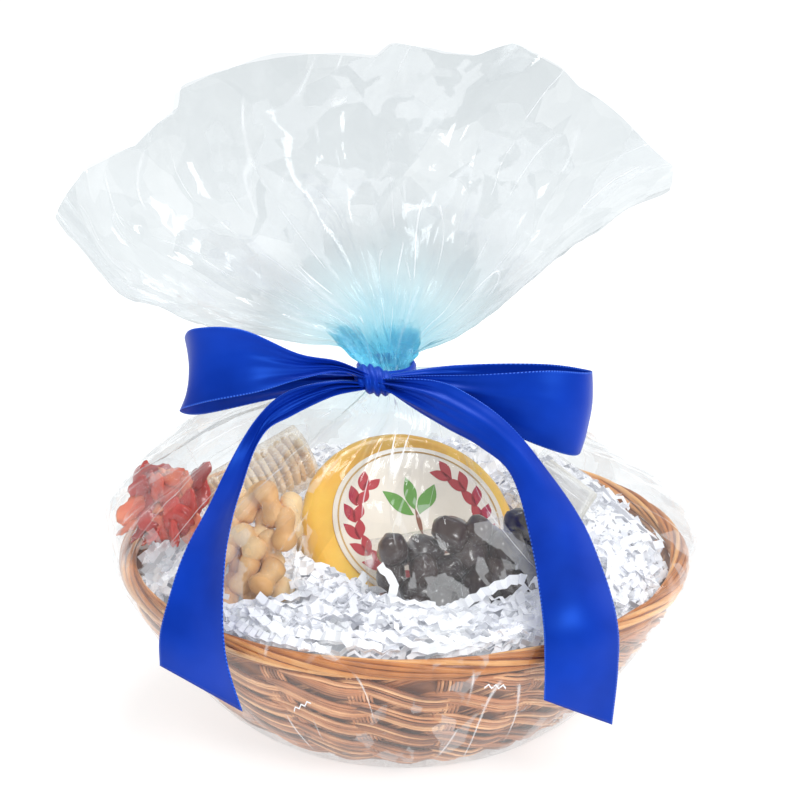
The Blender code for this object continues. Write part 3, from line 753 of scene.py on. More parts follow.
def makeBasket():
    chance = random.Random(basket["seed"])
    wicker, rimWicker = (mottledMaterial(
        name, basket[name], (700.0, 60.0), (0.35, 0.0004), 0.75, basket["footShade"],
        Roughness=rough, Specular_IOR_Level=0.45)
        for name, rough in (("wicker", 0.42), ("rimWicker", 0.35)))
    weave = newMesh()
    half = basket["stakes"] / 2.0
    bands, rods = basket["bands"], basket["rodsPerBand"]
    for band in range(bands):
        middle = (band + 0.5) / bands
        phase = math.pi * band
        for rod in range(rods):
            place = (rod + 0.5) / rods - 0.5
            offset = chance.uniform(-0.12, 0.12)
            wobble = chance.uniform(0.0, 6.28)

            def centre(turn, place=place, offset=offset, phase=phase, middle=middle,
                       wobble=wobble):
                wave = math.cos(half * turn + phase)
                squeeze = 0.62 + 0.38 * wave
                height = middle + place * (0.95 + 0.35 * squeeze) / bands
                slant = basket["slant"] * math.sin(half * turn + phase) / bands
                drift = 0.07 * math.sin(4.0 * turn + wobble) / bands
                share = min(max(height + slant + drift, 0.012), 0.985)
                r, z, out, run = wallAt(share)
                lift = min(1.0, 0.25 + share / 0.12)
                push = basket["swing"] * wave * lift - 2.2 + 0.9 * (1.0 - 4.0 * place * place)
                push += 0.3 * math.sin(7.0 * turn + wobble) + offset
                way, rise = wayAt(turn), Vector((0.0, 0.0, 1.0))
                return (way * (r + out.x * push) + rise * (z + out.y * push),
                        way * out.x + rise * out.y, way * run.x + rise * run.y)

            size = basket["rod"] * chance.uniform(0.85, 1.12)
            join(weave, ringRod(basket["stakes"] * basket["segments"], 5, centre, size),
                 chance.uniform(0.15, 0.95))
    newPiece("basket_weave", weave, wicker, "basket_wall")

    stakes = newMesh()
    steps, size = basket["stakeSteps"], basket["stakeRod"]
    for stake in range(basket["stakes"]):
        turn = fullTurn * (stake + 0.5) / basket["stakes"]
        for rod in range(basket["stakeRods"]):
            aside = ((rod + 0.5) / basket["stakeRods"] - 0.5) * basket["stakeWidth"]

            def place(column, row, turn=turn, aside=aside):
                share = 0.01 + 0.97 * column / steps
                r, z, out, _ = wallAt(share)
                wave = math.cos(half * turn + math.pi * share * bands)
                roll = fullTurn * (row % 5) / 5
                push = -1.9 - 0.9 * wave + size * math.cos(roll)
                cross = Vector((math.sin(turn), math.cos(turn), 0.0))
                spot = wayAt(turn) * (r + out.x * push) + cross * (aside + size * math.sin(roll))
                return (spot.x, spot.y, z + out.y * push)

            bar = gridSheet(steps, 5, place, True)
            bmesh.ops.holes_fill(bar, edges=[edge for edge in bar.edges if edge.is_boundary])
            faceOut(bar)
            join(stakes, bar, chance.uniform(0.1, 0.8))
    newPiece("basket_stakes", stakes, wicker)

    def liningPlace(column, row):
        radius, height = basket["lining"][row]
        spot = wayAt(fullTurn * (column % 120) / 120) * radius
        return (spot.x, spot.y, height)

    lining = closedSheet(120, 12, liningPlace)
    paintTone(lining, 0.15)
    newPiece("basket_liner", lining, wicker)

    rim = newMesh()
    tube = basket["rimTube"]
    rise = Vector((0.0, 0.0, 1.0))
    for rod in range(basket["rimRods"]):
        start = fullTurn * rod / basket["rimRods"]
        wobble = chance.uniform(0.0, 6.28)

        def rimCentre(turn, start=start, wobble=wobble):
            roll = start + basket["rimTurns"] * turn + 0.3 * math.sin(5.0 * turn + wobble)
            reach = tube + 0.25 * math.sin(7.0 * turn + wobble)
            return (wayAt(turn) * (basket["rimRadius"] + reach * math.cos(roll))
                    + rise * (basket["rimHeight"] + reach * math.sin(roll)), wayAt(turn), rise)

        size = basket["rimRod"] * chance.uniform(0.85, 1.0)
        join(rim, ringRod(360, 6, rimCentre, size), chance.uniform(0.3, 0.95))
    # a core tube under the rods with a dark tone, painted shade in the gaps between them
    join(rim, ringRod(180, 8, lambda turn: (wayAt(turn) * basket["rimRadius"]
                                            + rise * basket["rimHeight"], wayAt(turn), rise),
                      tube), 0.1)
    newPiece("basket_rim_rods", rim, rimWicker, "basket_rim")
    print("basket done")


# cheese wheel and label
cheese = {
    "centre": (4.4, -11.0, 106.0),
    "lean": 51.0,
    "turn": 20.0,
    "radius": 57.5,
    "thickness": 30.0,
    "edge": 7.0,
    "labelRadius": 46.0,
    "labelShift": (3.5, -1.0, 0.35),
    # lower and upper face of the print on the label
    "print": (0.56, 0.6),
    "rind": ((0.3, (0.88, 0.42, 0.02)), (0.7, (1.0, 0.64, 0.09))),
    "card": ((0.3, (0.83, 0.74, 0.60)), (0.7, (0.90, 0.82, 0.70))),
    "inks": {"labelRed": (0.50, 0.02, 0.03), "labelGreen": (0.13, 0.36, 0.04),
             "labelBrown": (0.28, 0.10, 0.05), "labelGold": (0.66, 0.40, 0.12)},
}


def cheeseFrame(across=0.0, up=0.0, lift=0.0):
    lean = Matrix.Rotation(math.radians(90.0 - cheese["lean"]), 4, "X")
    turned = Matrix.Rotation(math.radians(cheese["turn"]), 4, "Z") @ lean
    centre = (Vector(cheese["centre"]) + turned @ Vector((across, up, lift))) * mm
    return Matrix.Translation(centre) @ turned


def turnedShape(profile, sides, place=None):
    # outline turned about Z, with an optional move of each point
    def put(column, row):
        turn = fullTurn * (column % sides) / sides
        radius, height = profile[row]
        point = Vector((radius * math.cos(turn), radius * math.sin(turn), height))
        return place(point, radius) if place else point

    return closedSheet(sides, len(profile) - 1, put)


def wheelProfile(steps=6):
    radius, edge, low = cheese["radius"], cheese["edge"], -cheese["thickness"]
    rows = [(radius * share, 0.0) for share in (0.0, 0.3, 0.6, 0.8)]
    for step in range(steps + 1):
        turn = math.pi / 2.0 * (1.0 - step / steps)
        rows.append((radius - edge + edge * math.cos(turn), -edge + edge * math.sin(turn)))
    for step in range(1, 6):
        rows.append((radius, -edge + (low + 2.0 * edge) * step / 6.0))
    for step in range(steps + 1):
        turn = -math.pi / 2.0 * step / steps
        rows.append((radius - edge + edge * math.cos(turn), low + edge + edge * math.sin(turn)))
    return rows + [(radius * 0.5, low), (0.0, low)]


def arc(radius, angles):
    return [(radius * math.cos(math.radians(angle)), radius * math.sin(math.radians(angle)))
            for angle in angles]


def leaf(x, y, length, width, turn):
    tip = 12
    outline = [(length * step / tip, width * math.sin(math.pi * (step / tip) ** 0.8))
               for step in range(tip + 1)]
    outline += [(length * step / tip, -width * math.sin(math.pi * (step / tip) ** 1.2))
                for step in range(tip - 1, 0, -1)]
    c, s = math.cos(math.radians(turn)), math.sin(math.radians(turn))
    return [(x + a * c - b * s, y + a * s + b * c) for a, b in outline]


def printShape(outline):
    low, high = cheese["print"]
    shape = bmesh.new()
    face = shape.faces.new([shape.verts.new(Vector((x, y, low)) * mm) for x, y in outline])
    for part in bmesh.ops.extrude_face_region(shape, geom=[face])["geom"]:
        if isinstance(part, bmesh.types.BMVert):
            part.co.z += (high - low) * mm
    faceOut(shape)
    return moved(shape, cheeseFrame(*cheese["labelShift"]))


def makeCheese():
    rind = mottledMaterial("cheeseRind", cheese["rind"], (260.0, 22.0), (0.25, 0.0006),
                           Roughness=0.38, Subsurface_Weight=0.25, Coat_Weight=0.6,
                           Coat_Roughness=0.12, Subsurface_Radius=(0.008, 0.005, 0.002),
                           Subsurface_Scale=1.0)

    def wrinkle(point, radius):
        if radius <= cheese["labelRadius"]:
            return point
        spot = point / 14.0
        bulge = 0.5 * noise.noise(spot) + 0.35 * abs(noise.noise(spot * 2.7))
        return point * (1.0 - 0.008 + 0.012 * bulge)

    body = moved(turnedShape(wheelProfile(), 96, wrinkle), cheeseFrame())
    newPiece("cheese_body", body, rind, "cheese_wheel")

    gloss = {"Roughness": 0.4, "Coat_Weight": 0.5, "Coat_Roughness": 0.15}
    card = mottledMaterial("labelCard", cheese["card"], (500.0, 30.0), **gloss)
    radius = cheese["labelRadius"]
    disc = turnedShape([(0.0, 0.5), (radius * 0.5, 0.5), (radius - 0.3, 0.5), (radius, 0.35),
                        (radius, 0.0), (0.0, 0.0)], 96)
    newPiece("cheese_label_card", moved(disc, cheeseFrame(*cheese["labelShift"])), card,
             "cheese_label")

    # a wreath of red leaves, a green sprig over a notched bar, and a gold ring
    wreath = [leaf(*arc(34.0, [270.0 + side * turn])[0], 12.5, 2.9,
                   270.0 + side * (turn + 90.0 + lean))
              for side in (-1.0, 1.0) for turn in range(14, 150, 17) for lean in (-24.0, 20.0)]
    bar = [(-19.0, -19.5), (19.0, -19.5), (16.0, -15.0), (19.0, -10.5), (-19.0, -10.5),
           (-16.0, -15.0)]
    around = [0.5 + 359.0 * step / 96.0 for step in range(97)]
    prints = {
        "labelRed": wreath,
        "labelGreen": [leaf(-1.5, 5.0, 21.0, 4.2, 128), leaf(1.5, 5.0, 21.0, 4.2, 52),
                       leaf(0.0, 8.0, 20.0, 3.6, 90)],
        "labelBrown": [leaf(0.0, -8.0, 17.0, 1.3, 90), bar],
        "labelGold": [arc(43.5, around) + arc(42.6, reversed(around))],
    }
    for name, outlines in prints.items():
        colour = cheese["inks"][name]
        faded = tuple(part * 0.85 for part in colour)
        ink = mottledMaterial(name, ((0.2, faded), (0.8, colour)), (500.0, 60.0), **gloss)
        shape = bmesh.new()
        for outline in outlines:
            join(shape, printShape(outline))
        newPiece(name + "_print", shape, ink, smooth=False)
    print("cheese done")


# bags of snacks
bags = {
    "nut_bag": {"centre": (-76.0, -62.0, 113.0), "across": (0.92, -0.38, 0.05),
                "up": (0.12, 0.5, 0.86), "half": (22.0, 29.0, 13.0), "lumps": (2.0, 3.0)},
    "dried_fruit_bag": {"centre": (-123.5, -7.0, 115.0), "across": (0.85, -0.5, 0.15),
                        "up": (0.2, 0.55, 0.8), "half": (19.5, 18.0, 6.0), "lumps": (2.5, 2.0)},
    "chocolate_bag": {"centre": (27.0, -72.0, 106.0), "across": (0.97, 0.2, 0.1),
                      "up": (0.0, 0.5, 0.86), "half": (46.0, 22.5, 13.0), "lumps": (4.0, 2.0)},
    "cracker_pack": {"centre": (-76.0, 19.0, 118.0), "across": (0.78, 0.5, 0.3),
                     "up": (-0.3, 0.15, 0.94), "half": (33.0, 17.0, 10.0), "lumps": (8.0, 1.0)},
    "side_pack": {"centre": (80.0, 8.0, 112.0), "across": (0.72, -0.62, -0.3),
                  "up": (0.1, 0.4, 0.91), "half": (22.0, 20.0, 7.0), "lumps": (2.0, 2.0)},
}
bagLook = {"lump": 1.6, "seal": 0.7, "sealFrom": 0.88, "columns": 72, "rows": 54,
           "tints": ((0.0, (0.99, 0.99, 0.99)), (0.12, (0.96, 0.96, 0.96))),
           "packTints": ((0.0, (0.98, 0.96, 0.93)), (0.12, (0.94, 0.91, 0.87)))}

# dark, middle and light of each food
foodTones = {
    "peanut": ((0.1, (0.60, 0.27, 0.08)), (0.5, (0.85, 0.50, 0.20)), (0.9, (0.95, 0.70, 0.38))),
    "driedFruit": ((0.1, (0.32, 0.008, 0.006)), (0.5, (0.62, 0.035, 0.02)),
                   (0.9, (0.85, 0.26, 0.12))),
    "darkChocolate": ((0.1, (0.020, 0.010, 0.009)), (0.5, (0.036, 0.019, 0.017)),
                      (0.9, (0.062, 0.036, 0.03))),
    "cracker": ((0.1, (0.50, 0.30, 0.12)), (0.5, (0.72, 0.52, 0.28)), (0.9, (0.82, 0.68, 0.45))),
    "sideBiscuit": ((0.1, (0.52, 0.46, 0.38)), (0.5, (0.70, 0.68, 0.62)),
                    (0.9, (0.82, 0.82, 0.80))),
}


def bagFrame(name):
    xAxis = Vector(bags[name]["across"]).normalized()
    zAxis = xAxis.cross(Vector(bags[name]["up"])).normalized()
    turn = Matrix((xAxis, zAxis.cross(xAxis), zAxis)).transposed().to_4x4()
    return Matrix.Translation(Vector(bags[name]["centre"]) * mm) @ turn


def bagDepth(bag, u, v):
    body = (1.0 - min(abs(v), 1.0) ** 4) ** 0.75 * (1.0 - min(abs(u), 1.0) ** 6) ** 0.6
    lumps = bag["lumps"]
    waves = math.sin(math.pi * (lumps[0] * u + 0.4 * v)) * math.sin(
        math.pi * (lumps[1] * v + 0.3))
    return bagLook["seal"] + (bag["half"][2] + bagLook["lump"] * waves) * body


def bagFilm(name, material):
    bag = bags[name]
    columns, rows = bagLook["columns"], bagLook["rows"]
    shape = bmesh.new()
    for side in (1.0, -1.0):
        def place(column, row, side=side):
            u = 2.0 * column / columns - 1.0
            v = 2.0 * row / rows - 1.0
            narrow = 1.0 - 0.08 * abs(v) ** 3
            edge = min(1.0, 4.0 * (1.0 - abs(u)), 4.0 * (1.0 - abs(v)))
            point = Vector((u * bag["half"][0] * narrow, v * bag["half"][1],
                            side * bagDepth(bag, u, v)))
            spot = Vector((point.x, point.y, side * 40.0)) * mm
            point.z += side * edge * (crumple(spot, 11.0) * 1.1 + crumple(spot, 5.0) * 0.4)
            if abs(v) > bagLook["sealFrom"]:
                point.z += 0.25 * side * math.sin(point.y * 4.2)
            return point

        join(shape, gridSheet(columns, rows, place))
    bmesh.ops.bridge_loops(shape, edges=[edge for edge in shape.edges if edge.is_boundary])
    faceOut(shape)
    letLightThrough(newPiece(name + "_film", moved(shape, bagFrame(name)), material, name))


def lump(size, seed, rough, grow=1.0):
    # rounded uneven piece of food
    shape = bmesh.new()
    bmesh.ops.create_icosphere(shape, subdivisions=3, radius=1.0)
    shift = Vector((seed * 7.3, seed * 3.1, seed * 5.7))
    for corner in shape.verts:
        swell = 1.0 + rough * noise.noise(corner.co * 1.3 * grow + shift)
        swell += 0.4 * rough * noise.noise(corner.co * 3.5 * grow + shift)
        corner.co = Vector((corner.co.x * size[0], corner.co.y * size[1],
                            corner.co.z * size[2])) * swell * mm
    return shape


def peanut(seed):
    # two rounded lobes with a waist
    shape = bmesh.new()
    bmesh.ops.create_uvsphere(shape, u_segments=16, v_segments=14, radius=1.0)
    chance = random.Random(seed)
    length = chance.uniform(10.5, 13.0)
    fat = chance.uniform(5.8, 6.9)
    bend = chance.uniform(-1.5, 1.5)
    for corner in shape.verts:
        z = corner.co.z
        girth = math.sqrt(max(1e-6, 1.0 - z * z))
        waist = 1.0 - 0.28 * math.exp(-(z / 0.3) ** 2) + 0.1 * z
        bulk = fat * waist * (1.0 - z ** 6) ** 0.3 if abs(z) < 1.0 else 0.0
        way = Vector((corner.co.x, corner.co.y, 0.0))
        way = way.normalized() if way.length > 1e-6 else way
        net = 0.18 * math.sin(7.0 * math.atan2(way.y, way.x)) * math.sin(9.0 * z)
        full = min(bulk, fat * girth * 1.35)
        corner.co = (way * (full + net * girth) + Vector((bend * (1.0 - z * z), 0.0,
                                                          z * length))) * mm
    return shape


def turned(*turns):
    # turns about named axes, the first one outermost
    matrix = Matrix.Identity(4)
    for axis, angle in turns:
        matrix = matrix @ Matrix.Rotation(angle, 4, axis)
    return matrix


def makeNut(chance, index):
    return peanut(100 + index), turned(("Z", chance.uniform(-0.9, 0.9)), (
        "X", math.radians(90.0) + chance.uniform(-0.5, 0.5)))


def makeSlice(chance, index):
    size = (chance.uniform(7.0, 10.0), chance.uniform(5.5, 8.0), 2.0)
    return lump(size, index, 0.5, 1.3), turned(
        ("X", chance.uniform(-0.7, 0.7)), ("Y", chance.uniform(-0.6, 0.6)),
        ("Z", chance.uniform(0.0, 6.28)))


def makeSweet(chance, index):
    size = chance.uniform(8.4, 10.8)
    size = (size, size * chance.uniform(0.8, 1.0), size * 0.85)
    return lump(size, 50 + index, 0.22), turned(
        ("X", chance.uniform(0.0, 6.28)), ("Y", chance.uniform(0.0, 6.28)),
        ("Z", chance.uniform(0.0, 6.28)))


# what is loose in each bag: how it is made, how far apart, how many, its reach and tones
fillings = {
    "nut_bag": {"piece": "peanuts", "make": makeNut, "seed": 21, "spacing": 11.5, "count": 30,
                "reach": (0.78, 0.8, 0.5), "tones": (0.3, 0.9)},
    "dried_fruit_bag": {"piece": "dried_fruit_slices", "make": makeSlice, "seed": 22,
                        "spacing": 7.0, "count": 38, "reach": (0.97, 0.9, 0.5),
                        "tones": (0.1, 0.9)},
    "chocolate_bag": {"piece": "chocolates", "make": makeSweet, "seed": 23, "spacing": 12.0,
                      "count": 46, "reach": (0.88, 0.8, 0.55), "tones": (0.1, 0.9)},
}


def scatterInBag(bag, filling, chance):
    # places inside the bag that keep apart from each other
    acrossReach, upReach, depthReach = filling["reach"]
    spots = []
    for _ in range(filling["count"] * 60):
        u = chance.uniform(-acrossReach, acrossReach)
        v = chance.uniform(-upReach, upReach)
        depth = bagDepth(bag, u, v)
        w = chance.uniform(-1.0, 1.0)
        point = Vector((u * bag["half"][0], v * bag["half"][1], w * depth * depthReach))
        if all((point - other).length > filling["spacing"] for other in spots):
            spots.append(point)
        if len(spots) >= filling["count"]:
            break
    return spots


def fillBag(name, food, film):
    filling = fillings[name]
    chance = random.Random(filling["seed"])
    heap = newMesh()
    for index, spot in enumerate(scatterInBag(bags[name], filling, chance)):
        piece, turn = filling["make"](chance, index)
        join(heap, moved(piece, bagFrame(name) @ Matrix.Translation(spot * mm) @ turn),
             chance.uniform(*filling["tones"]))
    newPiece(filling["piece"], heap, food)
    bagFilm(name, film)


def foodMaterial(name, rough, fine, blotch, bumpSize, coat=0.0, scatter=0.0):
    return mottledMaterial(name, foodTones[name], (fine, blotch), (0.4, bumpSize), 0.6,
                           Roughness=rough, Coat_Weight=coat, Coat_Roughness=0.1,
                           Subsurface_Weight=scatter, Subsurface_Scale=1.0,
                           Subsurface_Radius=(0.004, 0.002, 0.001))


def makeSnacks():
    clear = filmMaterial("bagFilm", (0.01, 0.07), bagLook["tints"], 0.1, facet=55.0, bump=0.0012,
                         paintedGlow=0.1, share=1.0)
    fillBag("nut_bag", foodMaterial("peanut", 0.5, 300.0, 90.0, 0.0006), clear)
    fillBag("dried_fruit_bag", foodMaterial("driedFruit", 0.22, 240.0, 70.0, 0.0008, 0.5, 0.4),
            clear)
    fillBag("chocolate_bag", foodMaterial("darkChocolate", 0.28, 200.0, 60.0, 0.0006, 0.6), clear)

    crackers = newMesh()
    chance = random.Random(24)
    for index in range(13):
        along = (-0.82 + 1.64 * index / 12.0) * bags["cracker_pack"]["half"][0]
        piece = turnedShape([(0.0, 1.4), (6.0, 1.5), (11.0, 1.3), (12.2, 0.6), (12.2, -0.6),
                             (11.0, -1.3), (0.0, -1.4)], 28)
        spot = Matrix.Translation(Vector((along, chance.uniform(-0.8, 0.8), 0.0)) * mm)
        lay = spot @ turned(("Y", math.radians(90.0 + chance.uniform(-7, 7))))
        bmesh.ops.scale(piece, vec=(0.72, 1.1, 1.0), verts=piece.verts)
        join(crackers, moved(piece, bagFrame("cracker_pack") @ lay), chance.uniform(0.3, 0.9))
    newPiece("crackers", crackers, foodMaterial("cracker", 0.6, 300.0, 80.0, 0.0006))
    bagFilm("cracker_pack", filmMaterial("packFilm", (0.25, 0.5), bagLook["packTints"], 0.12,
                                         facet=30.0, bump=0.0012, milk=(0.9, 0.84, 0.74, 1.0),
                                         paintedGlow=0.1, share=1.0))

    biscuits = newMesh()
    for layer in range(3):
        piece = bmesh.new()
        bmesh.ops.create_cube(piece, size=1.0)
        bmesh.ops.scale(piece, vec=(0.034, 0.029, 0.0032), verts=piece.verts)
        bmesh.ops.bevel(piece, geom=piece.edges[:], offset=0.0014, offset_type="OFFSET",
                        affect="EDGES", segments=3, profile=0.5, material=-1)
        lay = Matrix.Translation(Vector((0.6 * layer, -0.5 * layer, 3.6 * (layer - 1))) * mm) \
            @ turned(("Z", 0.05 * (layer - 1)))
        join(biscuits, moved(piece, bagFrame("side_pack") @ lay), 0.5 + 0.15 * layer)
    newPiece("side_biscuits", biscuits, foodMaterial("sideBiscuit", 0.5, 300.0, 60.0, 0.0005))
    bagFilm("side_pack", clear)
    print("snacks done")


# crinkle cut paper
paper = {
    # radius and height of the heap
    "heap": ((0, 83), (30, 86), (60, 92), (88, 96), (110, 95), (126, 91), (136, 84)),
    "strips": 1150,
    "rimStrips": 300,
    "tries": 12000,
    "width": (3.2, 4.8),
    "length": (24.0, 48.0),
    "fold": 8.0,
    "foldHeight": (1.6, 3.2),
    "thickness": 0.14,
    "sideDip": 13.0,
    "lowestStrip": 70.0,
    # strips that stand up in front of the bags: width and the points they run through
    "standing": (
        (5.4, ((20, -100, 96), (32, -101, 102), (42, -101, 108), (54, -98, 112), (60, -94, 110))),
        (4.4, ((-2, -101, 86), (4, -102, 93), (-6, -102, 101), (-5, -100, 111), (-12, -97, 119))),
        (4.4, ((-64, -100, 90), (-52, -103, 97), (-38, -105, 99), (-26, -104, 94))),
        (4.0, ((56, -101, 89), (68, -98, 97), (80, -91, 101), (90, -84, 98))),
        (4.2, ((-8, -106, 88), (4, -108, 95), (18, -108, 97), (30, -105, 92))),
        (4.0, ((-44, -96, 92), (-40, -97, 101), (-46, -97, 108), (-43, -95, 114))),
        (4.4, ((84, -78, 92), (92, -70, 101), (97, -58, 104), (99, -46, 101))),
        (4.0, ((-112, -48, 92), (-104, -60, 98), (-96, -70, 99), (-88, -80, 94))),
    ),
    # scraps caught between the film and the wicker: turn in degrees, share of height, slant
    "scraps": ((112.0, 0.76, -0.9), (72.0, 0.93, 0.25), (252.0, 0.8, 0.5)),
    "seed": 41,
    # core radius, where its top ends, and how far and how deep it draws in below
    "core": (137.0, 82.0, 30.0, 44.0),
    # the darkest tint is painted shade: the core has tone 0, so it shows dark in the gaps between
    # the strips
    "tints": ((0.0, (0.36, 0.37, 0.42)), (0.15, (0.80, 0.81, 0.85)), (1.0, (0.94, 0.945, 0.96))),
}


def heapHeight(x, y, contents):
    radius = math.hypot(x, y)
    turn = math.atan2(-y, x)
    height = between(paper["heap"], radius)
    height += 1.6 * (math.sin(5.0 * turn + radius / 22.0) + math.sin(9.0 * turn + radius / 9.0))
    if 60.0 < radius < 130.0:
        height += 5.0 * max(0.0, math.cos(turn))
    # the heap leaves the wall bare at the two sides
    side = min(1.0, max(0.0, (abs(math.cos(turn)) - 0.62) / 0.25))
    height -= paper["sideDip"] * side * min(1.0, max(0.0, (radius - 112.0) / 18.0))
    lowest = height
    for tree in contents:
        spot = tree.ray_cast(Vector((x * mm, y * mm, 0.0)), Vector((0.0, 0.0, 1.0)))[0]
        if spot is not None:
            lowest = min(lowest, spot.z / mm - 1.0)
    return lowest


def stripGrid(folds, place):
    # a flat strip whose corners are set by their fold and their side
    strip = bmesh.new()
    bmesh.ops.create_grid(strip, x_segments=folds, y_segments=1, size=0.5)
    for corner in strip.verts:
        corner.co = place(round((corner.co.x + 0.5) * folds), corner.co.y) * mm
    return strip


def stripThrough(points, width, folds, foldHeight):
    # a crinkled strip through given points, its width lying across the way it runs
    last = len(points) - 1

    def place(step, side):
        spot = splinePoint(points, last * step / folds)
        ahead = splinePoint(points, last * min(step + 0.5, folds) / folds)
        back = splinePoint(points, last * max(step - 0.5, 0.0) / folds)
        out = Vector((spot.x, spot.y, 0.0)).normalized()
        across = (ahead - back).normalized().cross(out).normalized()
        lifted = foldHeight * (0.5 if step % 2 else -0.5)
        return spot + out * lifted + across * (width * side)

    return stripGrid(folds, place)


def wallScrap(turn, share, slant, folds=6):
    # a narrow zigzag lying on the outside of the wall
    def place(step, side):
        along = (step - folds / 2.0) * 1.9
        up = slant * along + (1.3 if step % 2 else -1.3) + 1.3 * side
        r, z, out, run = wallAt(share)
        spot = wayAt(math.radians(turn) + along / r) * (r + 1.6 * out.x + up * run.x)
        return spot + Vector((0.0, 0.0, z + 1.6 * out.y + up * run.y))

    return stripGrid(folds, place)


def crinkleStrip(chance, contents, byRim):
    bearing = chance.uniform(0.0, 6.2832)
    reach = chance.uniform(0.84, 1.06) if byRim else chance.uniform(0.02, 1.0)
    distance = math.sqrt(reach) * 136.0
    heading = chance.uniform(0.0, 6.2832)
    if byRim:
        heading = bearing + math.pi / 2.0 + chance.uniform(-0.5, 0.5)
    length = chance.uniform(*paper["length"])
    bend = chance.uniform(-1.4, 1.4)
    tilt = chance.uniform(-0.35, 0.5)
    roll = chance.uniform(-1.0, 1.0)
    lift = chance.uniform(2.0, 9.0) if byRim else chance.uniform(-1.0, 5.0)
    fold = chance.uniform(*paper["foldHeight"])
    folds = max(4, round(length / (paper["fold"] / 2.0)))
    width = chance.uniform(*paper["width"])
    spot = Vector((distance * math.cos(bearing), distance * math.sin(bearing), 0.0))
    middleHeight = heapHeight(spot.x, spot.y, contents)
    if middleHeight < paper["lowestStrip"]:
        return None
    route = []
    for step in range(folds + 1):
        share = step / folds
        turn = heading + bend * (share - 0.5)
        along = Vector((math.cos(turn), math.sin(turn), 0.0))
        if step:
            spot = spot + along * (length / folds)
        if spot.xy.length > (145.0 if byRim else 138.5):
            return None
        height = heapHeight(spot.x, spot.y, contents)
        if height < paper["lowestStrip"] - 6.0:
            return None
        side = Vector((-along.y, along.x, 0.0))
        across = (side * math.cos(roll) + Vector((0.0, 0.0, 1.0)) * math.sin(roll)).normalized()
        up = along.cross(across) * -1.0
        if up.z < 0.0:
            up = -up
        z = 0.6 * height + 0.4 * middleHeight + lift + tilt * length * (share - 0.5) * 0.5
        base = Vector((spot.x, spot.y, max(z, height - 0.5)))
        route.append((base + up * (fold * (0.5 if step % 2 else -0.5)), across))
    return stripGrid(folds, lambda step, side: route[step][0] + route[step][1] * (width * side))


def solidTree(name):
    shape = bmesh.new()
    shape.from_mesh(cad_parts[name].data)
    tree = BVHTree.FromBMesh(shape)
    shape.free()
    return tree


def makePaper():
    white, tree, shader = startMaterial("shredPaper")
    # a faint emission glow on the paper, painted light in place of the light that passes through
    # thin paper
    fillSockets(tree, shader, Base_Color=addRamp(tree, toneOf(tree), paper["tints"]),
                Roughness=0.6, Emission_Strength=0.1, Emission_Color=(0.93, 0.95, 1.0, 1.0))
    addBump(tree, shader, addGrain(tree, 900.0, 200.0).outputs["Height"], 0.2, 0.0003)
    contents = [solidTree(name) for name in ("cheese_wheel", *bags)]
    walls = [solidTree(name) for name in ("basket_rim", "basket_wall", "clear_wrap",
                                          "cheese_label")]
    columns, rows, lowRows = 96, 30, 4
    reach, edgeHeight, drawIn, drop = paper["core"]

    def corePlace(column, row):
        if row == 0:
            return (0.0, 0.0, heapHeight(0.01, 0.01, contents) - 2.0)
        if row == rows:
            return (0.0, 0.0, edgeHeight - drop)
        low = max(0.0, (row - (rows - lowRows)) / lowRows)
        radius = reach - drawIn * low if low else reach * row / (rows - lowRows)
        spot = wayAt(fullTurn * (column % columns) / columns) * radius
        if low:
            return (spot.x, spot.y, edgeHeight - drop * low)
        height = heapHeight(spot.x, spot.y, contents) - 2.0
        return (spot.x, spot.y, min(height, 84.0) if radius > 130.0 else height)

    core = closedSheet(columns, rows, corePlace)
    # tone 0 paints the core dark, painted shade in the gaps between the strips
    paintTone(core, 0.0)
    newPiece("paper_core", core, white, "paper_shred")

    chance = random.Random(paper["seed"])
    shred = newMesh()
    for width, points in paper["standing"]:
        join(shred, stripThrough([Vector(point) for point in points], width, 14, 2.2), 0.95)
    for scrap in paper["scraps"]:
        join(shred, wallScrap(*scrap), 0.9)
    made = tries = 0
    while made < paper["strips"] + paper["rimStrips"] and tries < paper["tries"]:
        tries += 1
        strip = crinkleStrip(chance, contents, made < paper["rimStrips"])
        if strip is None:
            continue
        tree = BVHTree.FromBMesh(strip)
        if any(tree.overlap(other) for other in contents + walls):
            strip.free()
            continue
        join(shred, strip, chance.uniform(0.0, 1.0))
        made += 1
    piece = newPiece("paper_strips", shred, white, smooth=False)
    thicken(piece, paper["thickness"])
    print("paper done", made, "of", tries)


